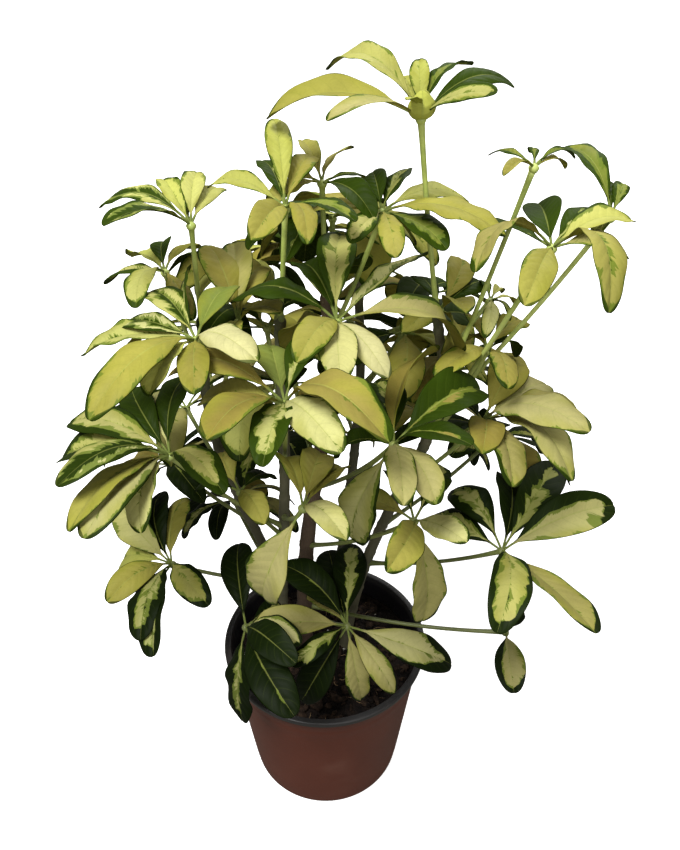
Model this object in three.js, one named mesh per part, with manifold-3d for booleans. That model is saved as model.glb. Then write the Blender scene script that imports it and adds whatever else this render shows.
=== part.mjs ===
// A potted umbrella plant: a variegated dwarf umbrella tree in a thin plastic nursery pot.
// Millimetres, +Z up, the front towards -Y. The origin is the middle of the pot's base, on the floor.
import * as THREE from 'three';
import { mergeVertices } from 'three/addons/utils/BufferGeometryUtils.js';
import Module from 'manifold-3d';

const wasm = await Module();
wasm.setup();

// Driving sizes of the pot, a 13 cm nursery pot
const RIM_RADIUS = 65;
const POT_HEIGHT = 112;
const BASE_RADIUS = 50;
const BASE_CORNER = 3;
const WALL = 1.5;
const LIP_WIDTH = 2.6;
const LIP_HEIGHT = 3.6;
const POT_SIDES = 32;
const DRAIN_HOLES = 4;
const DRAIN_SIDES = 8;
const DRAIN_RADIUS = 4;
const DRAIN_RING = 29;

// Driving sizes of the soil
const SOIL_EDGE = 96;
const SOIL_CROWN = 5;
const SOIL_LUMP = 1.6;
const SOIL_FOOT = 2;

// Driving sizes of the plant
const GAP = 0.3;
const STEM_FOOT = 66;
const STEM_SIDES = 8;
const STEM_RINGS = 8;
const PETIOLE_RADIUS = 1.3;
const PETIOLE_SIDES = 4;
const PETIOLE_RINGS = 4;
const PETIOLE_BOW = 0.09;
const HUB_RADIUS = 4;
const ROOT = 1.3;
const LEAFLET_LONG = 64;
const LEAFLET_WIDE = 0.35;
const SMALL_LEAFLET = 61;
const LEAFLET_ARCH = 0.15;
const LEAFLET_DROOP = -0.12;
const BLADE_THICK = 0.7;
const CLEAR = 0.8;

// A leaflet's outline, from the hub to the tip: how far along, and how wide as a share of the widest
const OUTLINE = [[0, 0.045], [0.15, 0.07], [0.43, 0.82], [0.76, 1], [1, 0.26]];
const SMALL_OUTLINE = [[0, 0.045], [0.16, 0.07], [0.6, 1], [1, 0.4]];

// The photograph's camera, which places the fronds that it shows: where it stands, how far it looks
// down, and its focal length and middle in pixels
const EYE = new THREE.Vector3(9.85, -362.7, 552.9);
const LOOK_DOWN = THREE.MathUtils.degToRad(36.55);
const FOCAL_PIXELS = 850;
const MIDDLE_PIXEL = [340, 425];

// The stems, by points on the middle line from the foot up
const STEMS = {
  stem_trunk: {
    foot: 6.6,
    top: 3.2,
    line: [
      [-13, 6, STEM_FOOT], [-13, 4, 110], [-11, 0, 178], [-7, -1, 222], [0, 4, 268], [5, 10, 312],
      [3, 16, 352],
    ],
  },
  stem_left: {
    foot: 4.2,
    top: 2.8,
    line: [
      [-29, -10, STEM_FOOT], [-28, -9, 110], [-25, -6, 170], [-22, -4, 222], [-20, -4, 270],
      [-20, -3, 312], [-19, -4, 350],
    ],
  },
  stem_right: {
    foot: 4.6,
    top: 2.6,
    line: [
      [12, 2, STEM_FOOT], [14, 4, 110], [24, 8, 165], [40, 6, 222], [56, 2, 270], [63, 1, 305],
      [57, 1, 350],
    ],
  },
  stem_far_left: {
    foot: 4.2,
    top: 2.6,
    line: [
      [-26, 22, STEM_FOOT], [-28, 24, 110], [-38, 26, 165], [-52, 24, 215], [-62, 22, 265],
      [-63, 19, 300], [-61, 17, 336],
    ],
  },
  stem_back: {
    foot: 4.4,
    top: 2.6,
    line: [
      [6, 28, STEM_FOOT], [7, 31, 110], [13, 42, 170], [19, 54, 225], [22, 62, 280], [20, 66, 335],
    ],
  },
};

// The fronds that the photograph shows. Each hangs on its stem at a height and ends in a hub at a
// pixel, at a depth in y, and a straighter stalk has a bow of its own. Each leaflet is the pixel of
// its tip, then its length where it isn't the frond's own, 1 or -1 where it points away from or to
// the camera, its arch, and degrees of roll.
const SHOWN = [
  {
    stem: 'stem_right', height: 350, hub: [421, 118], depth: 0, long: 62, wide: 0.28,
    leaflets: [
      [267, 113, 68, 1, 0.12, -8], [328, 116, 50, -1, 0.1, -16], [328, 61, 56, 1, 0.24, -20],
      [402, 74, 26], [419, 58, 30], [408, 98, 20, -1], [471, 62, 42, 1], [514, 79, 48, 1],
      [497, 91, 40, -1, 0.12, 30],
    ],
  },
  {
    stem: 'stem_right', height: 306, hub: [534, 167], depth: 0, long: 30, wide: 0.2, bow: 0.02,
    leaflets: [[489, 155], [504, 172, 26], [531, 150, 24], [575, 156], [565, 168, 26]],
  },
  {
    stem: 'stem_right', height: 292, hub: [611, 217], depth: 8, long: 58, wide: 0.28, bow: 0.07,
    leaflets: [
      [564, 146, 54, 1, 0.2], [624, 180, 30], [598, 178, 34, 1], [592, 238, 26, -1],
    ],
  },
  {
    stem: 'stem_right', height: 280, hub: [552, 248], depth: -28, long: 56, bow: 0.03,
    leaflets: [
      [473, 218, 44, 1, 0.06, 10], [474, 266, 44, -1, 0.32, 40], [538, 203, 48, 1, 0.1, -40],
      [602, 211, 40, 1], [630, 230, 42], [630, 252, 40], [609, 313, 50, -1, 0.4, -10],
      [526, 302, 44, -1],
    ],
  },
  {
    stem: 'stem_right', height: 318, hub: [490, 301], depth: 24, long: 26, wide: 0.24,
    leaflets: [[482, 281], [502, 290], [517, 305], [511, 318, 22], [486, 335, 34]],
  },
  {
    stem: 'stem_far_left', height: 335, hub: [191, 225], depth: 8, long: 46, wide: 0.32,
    leaflets: [
      [101, 207, 48, 1, 0.22, 8], [104, 220, 46, -1, 0.14], [163, 178, 34], [198, 178, 34],
      [184, 200, 30], [222, 186, 36],
    ],
  },
  {
    stem: 'stem_left', height: 349, hub: [285, 208], depth: -8, long: 56, wide: 0.3,
    leaflets: [
      [208, 182, 44, 1, 0.16, -10], [262, 160, 40, 1], [274, 117, 46], [314, 152, 40, 1],
      [356, 216, 38, -1, 0.1], [308, 240, 40, -1], [252, 238, 42, -1, 0.15, -20],
    ],
  },
  {
    stem: 'stem_trunk', height: 351, hub: [322, 183], depth: 22, long: 54,
    leaflets: [
      [374, 214, 38, -1], [376, 184, 32, 1], [352, 147, 32, 1, 0.1, -30], [302, 140, 30],
      [264, 165, 36, 1, 0.1, -30], [272, 196, 34, -1],
    ],
  },
  {
    stem: 'stem_trunk', height: 330, hub: [382, 212], depth: 2, long: 56,
    leaflets: [
      [408, 166, 36, 0, 0.1, -30], [468, 198, 46, 1, 0.14, -10], [506, 233, 62, -1, 0.12],
      [448, 244, 38, -1, 0.08], [346, 232, 28, -1], [304, 210, 42, 1, 0.08],
      [366, 176, 32, 1, 0.1, -30], [396, 258, 32, -1],
    ],
  },
  {
    stem: 'stem_trunk', height: 300, hub: [337, 322], depth: -30, long: 60,
    leaflets: [
      [340, 233, 58], [250, 307, 58, 1, 0.2], [425, 250, 66, 1, 0.06, -40], [463, 345, 68, 1, 0.2],
      [388, 374, 42, -1], [340, 377, 46, -1], [296, 368, 46, -1], [365, 262, 56, 1],
      [298, 262, 52, 1], [282, 338, 44],
    ],
  },
  {
    stem: 'stem_left', height: 300, hub: [196, 340], depth: -38, long: 56,
    leaflets: [
      [148, 288, 46, 1, 0.15], [122, 322, 46, 1, 0.12], [82, 352, 60, 1, 0.08],
      [88, 415, 66, -1, 0.16], [146, 386, 42, -1], [256, 358, 44, -1, 0.2], [178, 262, 52, 1, 0.15, -50],
      [232, 284, 48, 1], [194, 392, 40, -1],
    ],
  },
  {
    stem: 'stem_left', height: 262, hub: [285, 404], depth: -66, long: 56,
    leaflets: [
      [172, 374, 60, 1, 0.26], [200, 402, 46, 1], [206, 432, 52, -1, 0.16, 32], [270, 340, 46, 1],
      [315, 352, 46, 1], [340, 449, 46, -1, 0.22], [388, 437, 60, -1, 0.24], [262, 462, 44, -1],
      [300, 364, 36, 1],
    ],
  },
  {
    stem: 'stem_trunk', height: 240, hub: [394, 445], depth: -58, long: 58,
    leaflets: [
      [432, 345, 58, 1, 0.1, -50], [482, 386, 58, 1], [472, 444, 46, -1], [350, 545, 72, 1, 0.1],
      [437, 503, 40, -1], [338, 456, 42, 1], [376, 372, 50, 1], [402, 512, 46, -1],
    ],
  },
  {
    stem: 'stem_right', height: 272, hub: [487, 350], depth: 2, long: 46,
    leaflets: [
      [450, 384, 42, -1], [463, 342, 34, 1], [516, 352, 36, 1], [508, 388, 40, -1],
      [478, 302, 40, 1], [524, 320, 42, 1],
    ],
  },
  {
    stem: 'stem_right', height: 238, hub: [482, 422], depth: -12, long: 58, wide: 0.4,
    leaflets: [
      [548, 382, 56, 1], [520, 347, 52, 1], [576, 404, 58, 1], [588, 426, 62, -1, 0.22],
      [574, 474, 60, -1, 0.2], [513, 486, 52, -1, 0.18], [480, 458, 42, -1], [444, 404, 40, 1],
    ],
  },
  {
    stem: 'stem_right', height: 172, hub: [502, 551], depth: -30, long: 66,
    leaflets: [
      [453, 486, 60, 1, 0.2, -25], [430, 514, 56, 1, 0.15, -30], [507, 470, 60, 1], [556, 463, 66, 1, 0.15],
      [614, 503, 70, 1, 0.08], [597, 632, 74, -1, 0.05], [500, 629, 60, -1, 0.2],
    ],
  },
  {
    stem: 'stem_trunk', height: 196, hub: [414, 521], depth: -58, long: 58,
    leaflets: [
      [426, 624, 64, 1, 0.04], [467, 542, 44, -1, 0.08, 25], [388, 570, 46, -1], [437, 462, 48, 1],
      [352, 500, 48, 1], [388, 468, 44, 1],
    ],
  },
  {
    stem: 'stem_trunk', height: 138, hub: [347, 626], depth: -46, long: 60,
    leaflets: [
      [319, 550, 62, 1, 0.1], [374, 546, 62, 1, 0.1], [283, 564, 58, 1], [308, 592, 34, 1],
      [253, 627, 56, 1, 0.1], [292, 666, 40, -1], [300, 704, 54, 1], [362, 702, 46, 1],
      [396, 692, 44, 1], [452, 664, 66, 1, 0.16],
    ],
  },
  {
    stem: 'stem_left', height: 134, hub: [246, 627], depth: -46, long: 54,
    leaflets: [
      [237, 541, 56, 1, 0.14], [242, 722, 62, 1, 0.05, 25], [284, 604, 34, 1], [300, 642, 40, -1],
      [298, 668, 50, -1], [294, 716, 62, -1, 0.16],
    ],
  },
  {
    stem: 'stem_left', height: 222, hub: [303, 508], depth: -70, long: 62,
    leaflets: [
      [262, 598, 66, 1, 0.12], [282, 456, 46, 1], [322, 450, 46, 1], [346, 538, 44, -1],
      [352, 462, 46, 1],
    ],
  },
  {
    stem: 'stem_left', height: 214, hub: [170, 456], depth: -30, long: 60,
    leaflets: [
      [130, 386, 50, 1, 0.2], [166, 386, 46, 1], [200, 378, 52, 1, 0.2], [68, 418, 62, 1, 0.18],
      [61, 460, 60, 1, 0.2], [57, 484, 64, -1, 0.18], [83, 536, 66, -1, 0.16],
      [140, 532, 48, -1, 0.2], [224, 494, 50, -1, 0.2], [66, 524, 66, -1, 0.12],
    ],
  },
  {
    stem: 'stem_left', height: 170, hub: [172, 564], depth: -4, long: 56, wide: 0.4,
    leaflets: [
      [120, 567, 50, 1, 0.2], [107, 601, 46, -1, 0.2, -36], [131, 628, 56, -1, 0.16],
      [153, 656, 64, -1, 0.14], [209, 606, 46, -1, 0.2], [158, 490, 52, 1], [182, 495, 46, 1],
      [120, 504, 54, 1],
    ],
  },
  {
    stem: 'stem_left', height: 206, hub: [240, 492], depth: -24, long: 46,
    leaflets: [
      [264, 520, 36, -1], [274, 476, 40, 1], [222, 450, 44, 1],
      [196, 486, 38, 1],
    ],
  },
  {
    stem: 'stem_far_left', height: 300, hub: [165, 272], depth: 24, long: 44,
    leaflets: [
      [132, 256, 40, 1, 0.12], [105, 279, 46, 1, 0.08], [166, 240, 34, 1], [198, 247, 38, 1],
      [136, 312, 42, -1], [190, 300, 38, -1],
    ],
  },
  {
    stem: 'stem_far_left', height: 268, hub: [238, 322], depth: 4, long: 52,
    leaflets: [
      [208, 240, 52, 1], [234, 243, 52, 1], [262, 262, 46, 1], [282, 312, 42, -1],
      [226, 366, 38, -1],
    ],
  },
  {
    stem: 'stem_back', height: 300, hub: [440, 310], depth: 26, long: 48,
    leaflets: [
      [485, 283, 44, 1], [478, 312, 40, -1], [462, 258, 44, 1], [414, 276, 38, 1],
      [402, 332, 40, -1], [446, 352, 38, -1],
    ],
  },
  {
    stem: 'stem_trunk', height: 142, hub: [506, 632], depth: -24, long: 40, wide: 0.5,
    leaflets: [[514, 692, 40, -1, 0.14, 50], [520, 606, 20, 1]],
  },
];

// The fronds of the middle, the sides and the back, by hub, number of leaflets and the turn of the first
const HIDDEN = [
  { stem: 'stem_back', height: 333, hub: [20, 88, 362], leaflets: 7, turn: 25 },
  { stem: 'stem_far_left', height: 322, hub: [-44, 72, 342], long: 52, leaflets: 7, turn: 35 },
  { stem: 'stem_back', height: 305, hub: [-22, 108, 335], leaflets: 7, turn: 0 },
  { stem: 'stem_right', height: 246, hub: [78, 54, 284], leaflets: 7, turn: 40 },
  { stem: 'stem_back', height: 262, hub: [62, 114, 300], leaflets: 7, turn: 50 },
  { stem: 'stem_far_left', height: 226, hub: [-82, 52, 258], leaflets: 7, turn: 15 },
  { stem: 'stem_far_left', height: 252, hub: [-74, 96, 290], leaflets: 7, turn: 40 },
  { stem: 'stem_back', height: 232, hub: [0, 130, 262], leaflets: 7, turn: 25 },
  { stem: 'stem_right', height: 206, hub: [104, 52, 236], leaflets: 7, turn: 30 },
  { stem: 'stem_back', height: 204, hub: [66, 104, 214], leaflets: 7, turn: 30 },
  { stem: 'stem_far_left', height: 192, hub: [-98, 62, 206], leaflets: 7, turn: 0 },
  { stem: 'stem_back', height: 172, hub: [-34, 106, 192], leaflets: 7, turn: 45 },
  { stem: 'stem_far_left', height: 146, hub: [-62, 70, 168], long: 52, leaflets: 6, turn: 20 },
  { stem: 'stem_trunk', height: 318, hub: [6, 52, 378], long: 54, leaflets: 7, turn: 0, wide: 0.4 },
  { stem: 'stem_left', height: 288, hub: [-30, 40, 320], long: 60, leaflets: 6, turn: 10, wide: 0.42 },
  { stem: 'stem_back', height: 268, hub: [44, 38, 318], long: 60, leaflets: 6, turn: 30, wide: 0.42 },
  { stem: 'stem_trunk', height: 248, hub: [-16, 40, 284], long: 60, leaflets: 6, turn: 0, wide: 0.42 },
];

// The ways that a leaflet may be bent clear of its neighbours, tried in this order: a share of its
// length, degrees up, degrees round the hub, degrees of roll, and a change of arch
const BENDS = [[1, 0, 0, 0, 0]];
for (const step of [1, 2, 3]) {
  BENDS.push([1 - 0.06 * step, 0, 0, 0, 0]);
  for (const lift of [7 * step, -7 * step]) BENDS.push([1, lift, 0, 0, 0]);
  for (const turn of [6 * step, -6 * step]) BENDS.push([1, 0, turn, 0, 0]);
  for (const roll of [14 * step, -14 * step]) BENDS.push([1, 0, 0, roll, 0]);
  for (const [lift, arch] of [[5 * step, 0.03 * step], [-6 * step, -0.03 * step]]) {
    for (const turn of [5 * step, -5 * step]) BENDS.push([1 - 0.04 * step, lift, turn, 0, arch]);
  }
}
for (const shorter of [0.74, 0.62, 0.5]) {
  for (const turn of [0, 12, -12]) {
    for (const lift of [0, 14, -14, 28, -28]) BENDS.push([shorter, lift, turn, 0, 0]);
  }
}

const UP = new THREE.Vector3(0, 0, 1);
const AHEAD = new THREE.Vector3(0, Math.cos(LOOK_DOWN), -Math.sin(LOOK_DOWN));
const ABOVE = new THREE.Vector3(0, Math.sin(LOOK_DOWN), Math.cos(LOOK_DOWN));
const RIGHT = new THREE.Vector3(1, 0, 0);

// A steady draw between -1 and 1 for a leaflet or petiole, so that the plant grows the same each time
function draw(frond, leaflet, channel) {
  let mixed = Math.imul(frond + 1, 374761393) + Math.imul(leaflet + 1, 668265263);
  mixed += Math.imul(channel + 1, 1274126177);
  mixed = Math.imul(mixed ^ (mixed >>> 13), 1103515245);
  mixed = Math.imul(mixed ^ (mixed >>> 16), 2246822519);
  return ((mixed ^ (mixed >>> 15)) >>> 0) / 2147483648 - 1;
}

// The direction in which the camera sees a pixel
function sight([x, y]) {
  return AHEAD.clone()
    .addScaledVector(RIGHT, (x - MIDDLE_PIXEL[0]) / FOCAL_PIXELS)
    .addScaledVector(ABOVE, (MIDDLE_PIXEL[1] - y) / FOCAL_PIXELS)
    .normalize();
}

// The point at a depth in y that the camera sees at a pixel
function seenAt(pixel, depth) {
  const along = sight(pixel);
  return EYE.clone().addScaledVector(along, (depth - EYE.y) / along.y);
}

// The tip of a leaflet of a known length whose tip shows at a pixel
function seenTip(hub, pixel, long, side, axis) {
  const along = sight(pixel);
  const nearest = EYE.clone().addScaledVector(along, hub.clone().sub(EYE).dot(along));
  const across = nearest.distanceTo(hub);
  if (across >= long) return nearest;
  const reach = Math.sqrt(long * long - across * across);
  const far = nearest.clone().addScaledVector(along, reach);
  const near = nearest.clone().addScaledVector(along, -reach);
  if (side) return side > 0 ? far : near;
  const lean = (tip) => Math.abs(tip.clone().sub(hub).normalize().dot(axis) - LEAFLET_DROOP);
  return lean(far) < lean(near) ? far : near;
}

// A closed skin through rings of points. The second half of each ring is split as the first half is,
// so that both faces of a thin blade bend alike.
function skin(rings) {
  const around = rings[0].length;
  const faces = [];
  for (let ring = 0; ring + 1 < rings.length; ring++) {
    for (let side = 0; side < around; side++) {
      const here = ring * around + side;
      const next = ring * around + (side + 1) % around;
      if (side < around / 2) faces.push(here, next, next + around, here, next + around, here + around);
      else faces.push(here, next, here + around, next, next + around, here + around);
    }
  }
  const last = (rings.length - 1) * around;
  for (let side = 1; side + 1 < around; side++) {
    faces.push(0, side + 1, side, last, last + side, last + side + 1);
  }
  const places = rings.flat().flatMap((place) => place.toArray());
  const geometry = new THREE.BufferGeometry();
  geometry.setAttribute('position', new THREE.Float32BufferAttribute(places, 3));
  geometry.setIndex(faces);
  return geometry;
}

// A solid from a geometry, for joining and cutting
function solid(geometry) {
  const bare = geometry.clone();
  bare.deleteAttribute('normal');
  bare.deleteAttribute('uv');
  const merged = mergeVertices(bare, 1e-4);
  return new wasm.Manifold(new wasm.Mesh({
    numProp: 3,
    vertProperties: new Float32Array(merged.attributes.position.array),
    triVerts: new Uint32Array(merged.index.array),
  }));
}

// A three.js mesh from a solid. Sealed hollows and loose scraps are dropped: the largest body stays.
function meshFrom(name, body, material) {
  const largest = body.decompose().sort((a, b) => b.volume() - a.volume())[0];
  const { vertProperties, triVerts } = largest.getMesh();
  const geometry = new THREE.BufferGeometry();
  geometry.setAttribute('position', new THREE.Float32BufferAttribute(vertProperties, 3));
  geometry.setIndex(Array.from(triVerts));
  geometry.computeVertexNormals();
  const mesh = new THREE.Mesh(geometry, material);
  mesh.name = name;
  return mesh;
}

// A round bar along a curve, with its radius given along it
function bar(curve, radiusAt, sides, rings) {
  const loops = [];
  let across = new THREE.Vector3(1, 0, 0);
  for (let ring = 0; ring < rings; ring++) {
    const share = ring / (rings - 1);
    const middle = curve.getPoint(share);
    const along = curve.getTangent(share);
    across = across.clone().addScaledVector(along, -across.dot(along)).normalize();
    const beside = along.clone().cross(across);
    const loop = [];
    for (let side = 0; side < sides; side++) {
      const angle = 2 * Math.PI * side / sides;
      loop.push(middle.clone()
        .addScaledVector(across, radiusAt(share) * Math.cos(angle))
        .addScaledVector(beside, radiusAt(share) * Math.sin(angle)));
    }
    loops.push(loop);
  }
  return skin(loops);
}

// The pot: one thin shell with a rolled lip, a rounded foot and drain holes in its floor
const wallRadius = (z) => BASE_RADIUS + (RIM_RADIUS - LIP_WIDTH - BASE_RADIUS) * z / POT_HEIGHT;

function makePot() {
  const corner = new THREE.Path();
  const foot = BASE_RADIUS - BASE_CORNER;
  corner.absarc(foot, BASE_CORNER, BASE_CORNER, -Math.PI / 2, -0.15, false);
  const outside = corner.getPoints(3).map((p) => [p.x, p.y]);
  const lipFoot = POT_HEIGHT - LIP_HEIGHT;
  const profile = [
    [0, 0],
    ...outside,
    [wallRadius(lipFoot) - 0.4, lipFoot - 0.8],
    [RIM_RADIUS, lipFoot],
    [RIM_RADIUS, POT_HEIGHT - 1],
    [RIM_RADIUS - 1, POT_HEIGHT],
    [wallRadius(POT_HEIGHT) - WALL, POT_HEIGHT],
    [wallRadius(BASE_CORNER) - WALL, BASE_CORNER],
    [foot, WALL],
    [0, WALL],
  ];
  const shell = new THREE.LatheGeometry(profile.map(([r, z]) => new THREE.Vector2(r, z)), POT_SIDES);
  shell.rotateX(Math.PI / 2);
  let pot = solid(shell);
  for (let hole = 0; hole < DRAIN_HOLES; hole++) {
    const angle = 2 * Math.PI * (hole + 0.25) / DRAIN_HOLES;
    const drill = new THREE.CylinderGeometry(DRAIN_RADIUS, DRAIN_RADIUS, 6 * WALL, DRAIN_SIDES);
    drill.rotateX(Math.PI / 2);
    drill.translate(DRAIN_RING * Math.cos(angle), DRAIN_RING * Math.sin(angle), WALL / 2);
    pot = pot.subtract(solid(drill));
  }
  return pot;
}

// The soil: a plug that fills the pot to below its rim, with a lumpy top and a hole for each stem
function makeSoil(holes) {
  const radiusAt = (z) => wallRadius(z) - WALL - GAP;
  const rings = [[0, SOIL_FOOT], [wallRadius(BASE_CORNER) - WALL - BASE_CORNER, SOIL_FOOT]];
  rings.push([radiusAt(BASE_CORNER + 3), BASE_CORNER + 3], [radiusAt(SOIL_EDGE), SOIL_EDGE]);
  for (const share of [0.8, 0.45, 0]) {
    rings.push([radiusAt(SOIL_EDGE) * share, SOIL_EDGE + SOIL_CROWN * (1 - share * share)]);
  }
  const plug = new THREE.LatheGeometry(rings.map(([r, z]) => new THREE.Vector2(r, z)), POT_SIDES);
  plug.rotateX(Math.PI / 2);
  const place = plug.attributes.position;
  for (let i = 0; i < place.count; i++) {
    const [x, y, z] = [place.getX(i), place.getY(i), place.getZ(i)];
    if (z > SOIL_EDGE + 0.1) {
      const lump = Math.sin(x / 5.1 + 1.3 * Math.sin(y / 8)) + Math.sin(y / 4.3 + 1.7 * Math.sin(x / 7));
      place.setZ(i, z + SOIL_LUMP * lump / 2);
    }
  }
  let soil = solid(plug);
  for (const hole of holes) soil = soil.subtract(hole);
  return soil;
}

// A stem's middle line, as a smooth curve
const stemCurve = ({ line }) => new THREE.CatmullRomCurve3(line.map((p) => new THREE.Vector3(...p)));

// A stem, grown thicker by an amount for its hole in the soil and for the cuts in what meets it
function makeStem({ foot, top, line }, thicker) {
  const radiusAt = (share) => foot + (top - foot) * Math.sqrt(share) + thicker;
  return solid(bar(stemCurve({ line }), radiusAt, STEM_SIDES, STEM_RINGS));
}

// The point on a stem's middle line at a height
function stemAt(name, height) {
  const points = stemCurve(STEMS[name]).getPoints(200);
  return points.reduce((best, p) => (Math.abs(p.z - height) < Math.abs(best.z - height) ? p : best));
}

// Where a frond's hub is, where its petiole starts, and the way that its umbrella faces
function frondFrame(frond) {
  const start = stemAt(frond.stem, frond.height);
  const isShown = frond.depth !== undefined;
  const hub = isShown ? seenAt(frond.hub, frond.depth) : new THREE.Vector3(...frond.hub);
  const lean = hub.clone().sub(start).normalize();
  const axis = UP.clone().multiplyScalar(1.6).add(lean).normalize();
  return { start, hub, axis, bow: frond.bow ?? PETIOLE_BOW };
}

// A petiole's curve: it leaves the stem outwards and rises into the hub
function petioleCurve({ start, hub, bow }, sideways) {
  const chord = hub.clone().sub(start);
  const sag = UP.clone().addScaledVector(chord, -UP.dot(chord) / chord.lengthSq());
  const aside = chord.clone().cross(UP).normalize();
  const bent = aside.multiplyScalar(sideways).addScaledVector(sag, -bow);
  const middle = start.clone().addScaledVector(chord, 0.5).addScaledVector(bent, chord.length());
  return new THREE.QuadraticBezierCurve3(start, middle, hub);
}

// The middle line, width and faces of a leaflet, bent in one of the ways above
function leafletFrame(frame, number, leaflet, which, long, [longer, lift, turn, roll, archMore]) {
  const { hub, axis } = frame;
  const chord = leaflet.tip(frame, long * longer).sub(hub);
  const out = chord.clone().cross(axis).normalize();
  chord.applyAxisAngle(out, THREE.MathUtils.degToRad(lift));
  chord.applyAxisAngle(axis, THREE.MathUtils.degToRad(turn));
  const length = chord.length();
  const along = chord.clone().normalize();
  const normal = axis.clone().addScaledVector(along, -axis.dot(along)).normalize();
  const rolled = leaflet.roll + roll + 11 * draw(number, which, 1);
  normal.applyAxisAngle(along, THREE.MathUtils.degToRad(rolled));
  const arch = leaflet.arch + archMore + 0.03 * draw(number, which, 2);
  const wide = leaflet.long * leaflet.wide * (1 + 0.12 * draw(number, which, 3));
  const twist = 0.3 * draw(number, which, 4);
  return { hub, along, normal, length, arch, wide, twist, outline: leaflet.outline };
}

// A leaflet's blade: a thin arched strip, narrow at the stalk and broad past the middle
function blade({ hub, along, normal, length, arch, wide, twist, outline }, thicker, from) {
  const across = along.clone().cross(normal);
  const rings = outline.slice(from).map(([rawShare, width]) => {
    const share = Math.max(rawShare, ROOT / length);
    const rise = 4 * arch * length * share * (1 - share);
    const slope = 4 * arch * (1 - 2 * share);
    const middle = hub.clone().addScaledVector(along, length * share).addScaledVector(normal, rise);
    const forward = along.clone().addScaledVector(normal, slope).normalize();
    const side = across.clone().applyAxisAngle(forward, twist * share);
    const up = side.clone().cross(forward);
    const half = wide * width / 2 + thicker / 2;
    const deep = (BLADE_THICK + thicker) / 2;
    return [[-1, 1], [1, 1], [1, -1], [-1, -1]].map(([s, u]) => middle.clone()
      .addScaledVector(side, s * half).addScaledVector(up, u * deep));
  });
  return solid(skin(rings));
}

// The leaflets of a frond: those that the photograph shows, or an even ring of them
function leafletsOf(frond, number) {
  const { long = LEAFLET_LONG, wide = LEAFLET_WIDE } = frond;
  if (frond.depth !== undefined) {
    return frond.leaflets.map(([x, y, length = long, side = 0, arch = LEAFLET_ARCH, roll = 0]) => ({
      long: length,
      wide,
      arch,
      roll,
      outline: length < SMALL_LEAFLET ? SMALL_OUTLINE : OUTLINE,
      tip: ({ hub, axis }, l) => seenTip(hub, [x, y], l, side, axis),
    }));
  }
  return Array.from({ length: frond.leaflets }, (_, which) => {
    const degrees = frond.turn + 360 * which / frond.leaflets + 9 * draw(number, which, 5);
    const around = THREE.MathUtils.degToRad(degrees);
    const droop = LEAFLET_DROOP - 0.12 + 0.2 * draw(number, which, 6);
    return {
      long: long * (0.94 + 0.14 * draw(number, which, 7)),
      wide,
      arch: LEAFLET_ARCH + 0.04,
      roll: 0,
      outline: SMALL_OUTLINE,
      tip: ({ hub, axis }, l) => {
        const east = new THREE.Vector3(0, 1, 0).cross(axis).normalize();
        const north = axis.clone().cross(east);
        const way = east.multiplyScalar(Math.cos(around)).addScaledVector(north, Math.sin(around));
        return hub.clone().addScaledVector(way.addScaledVector(axis, droop).normalize(), l);
      },
    };
  });
}

// What has grown so far, with the box round each solid, for keeping the next one clear
const grown = [];

function remember(owner, body) {
  grown.push({ owner, body, box: body.boundingBox() });
}

function meets(body, others) {
  const { min, max } = body.boundingBox();
  return others.some(({ body: other, box }) => {
    if ([0, 1, 2].some((k) => box.min[k] > max[k] || box.max[k] < min[k])) return false;
    return !body.intersect(other).isEmpty();
  });
}

const potSolid = makePot();
const stems = {};
const holes = [];
for (const [name, stem] of Object.entries(STEMS)) {
  stems[name] = makeStem(stem, 0);
  const [[x, y, z], ...rest] = stem.line;
  holes.push(makeStem({ ...stem, line: [[x, y, z - GAP], ...rest] }, GAP));
  remember(name, stems[name]);
}
const soilSolid = makeSoil(holes);
remember('pot', potSolid);
remember('soil', soilSolid);

const paint = (color, roughness) => new THREE.MeshStandardMaterial({ color, roughness, metalness: 0 });
const potPaint = paint(0x7a4438, 0.5);
const soilPaint = paint(0x2b1d18, 0.95);
const barkPaint = paint(0x6b5a3f, 0.85);
const leafPaint = paint(0xb9c070, 0.45);

const plant = new THREE.Group();
plant.add(meshFrom('pot', potSolid, potPaint));
plant.add(meshFrom('soil', soilSolid, soilPaint));
for (const [name, body] of Object.entries(stems)) plant.add(meshFrom(name, body, barkPaint));

// Every petiole first, then the leaflets, frond by frond
const fronds = [...SHOWN, ...HIDDEN].map((frond, number) => ({
  ...frond,
  number,
  name: `frond_${String(number + 1).padStart(2, '0')}`,
  frame: frondFrame(frond),
}));

for (const frond of fronds) {
  const others = grown.filter(({ owner }) => owner !== frond.stem);
  const sideways = [0, 0.12, -0.12, 0.24, -0.24, 0.36, -0.36, 0.5, -0.5];
  const petiole = (bend, thicker) => solid(bar(
    petioleCurve(frond.frame, bend), () => PETIOLE_RADIUS + thicker, PETIOLE_SIDES, PETIOLE_RINGS));
  const bend = sideways.find((b) => !meets(petiole(b, CLEAR / 2), others)) ?? 0;
  const around = new THREE.OctahedronGeometry(HUB_RADIUS);
  around.translate(...frond.frame.hub.toArray());
  frond.body = petiole(bend, 0).subtract(makeStem(STEMS[frond.stem], GAP)).add(solid(around));
  remember(frond.name, frond.body);
}

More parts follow.
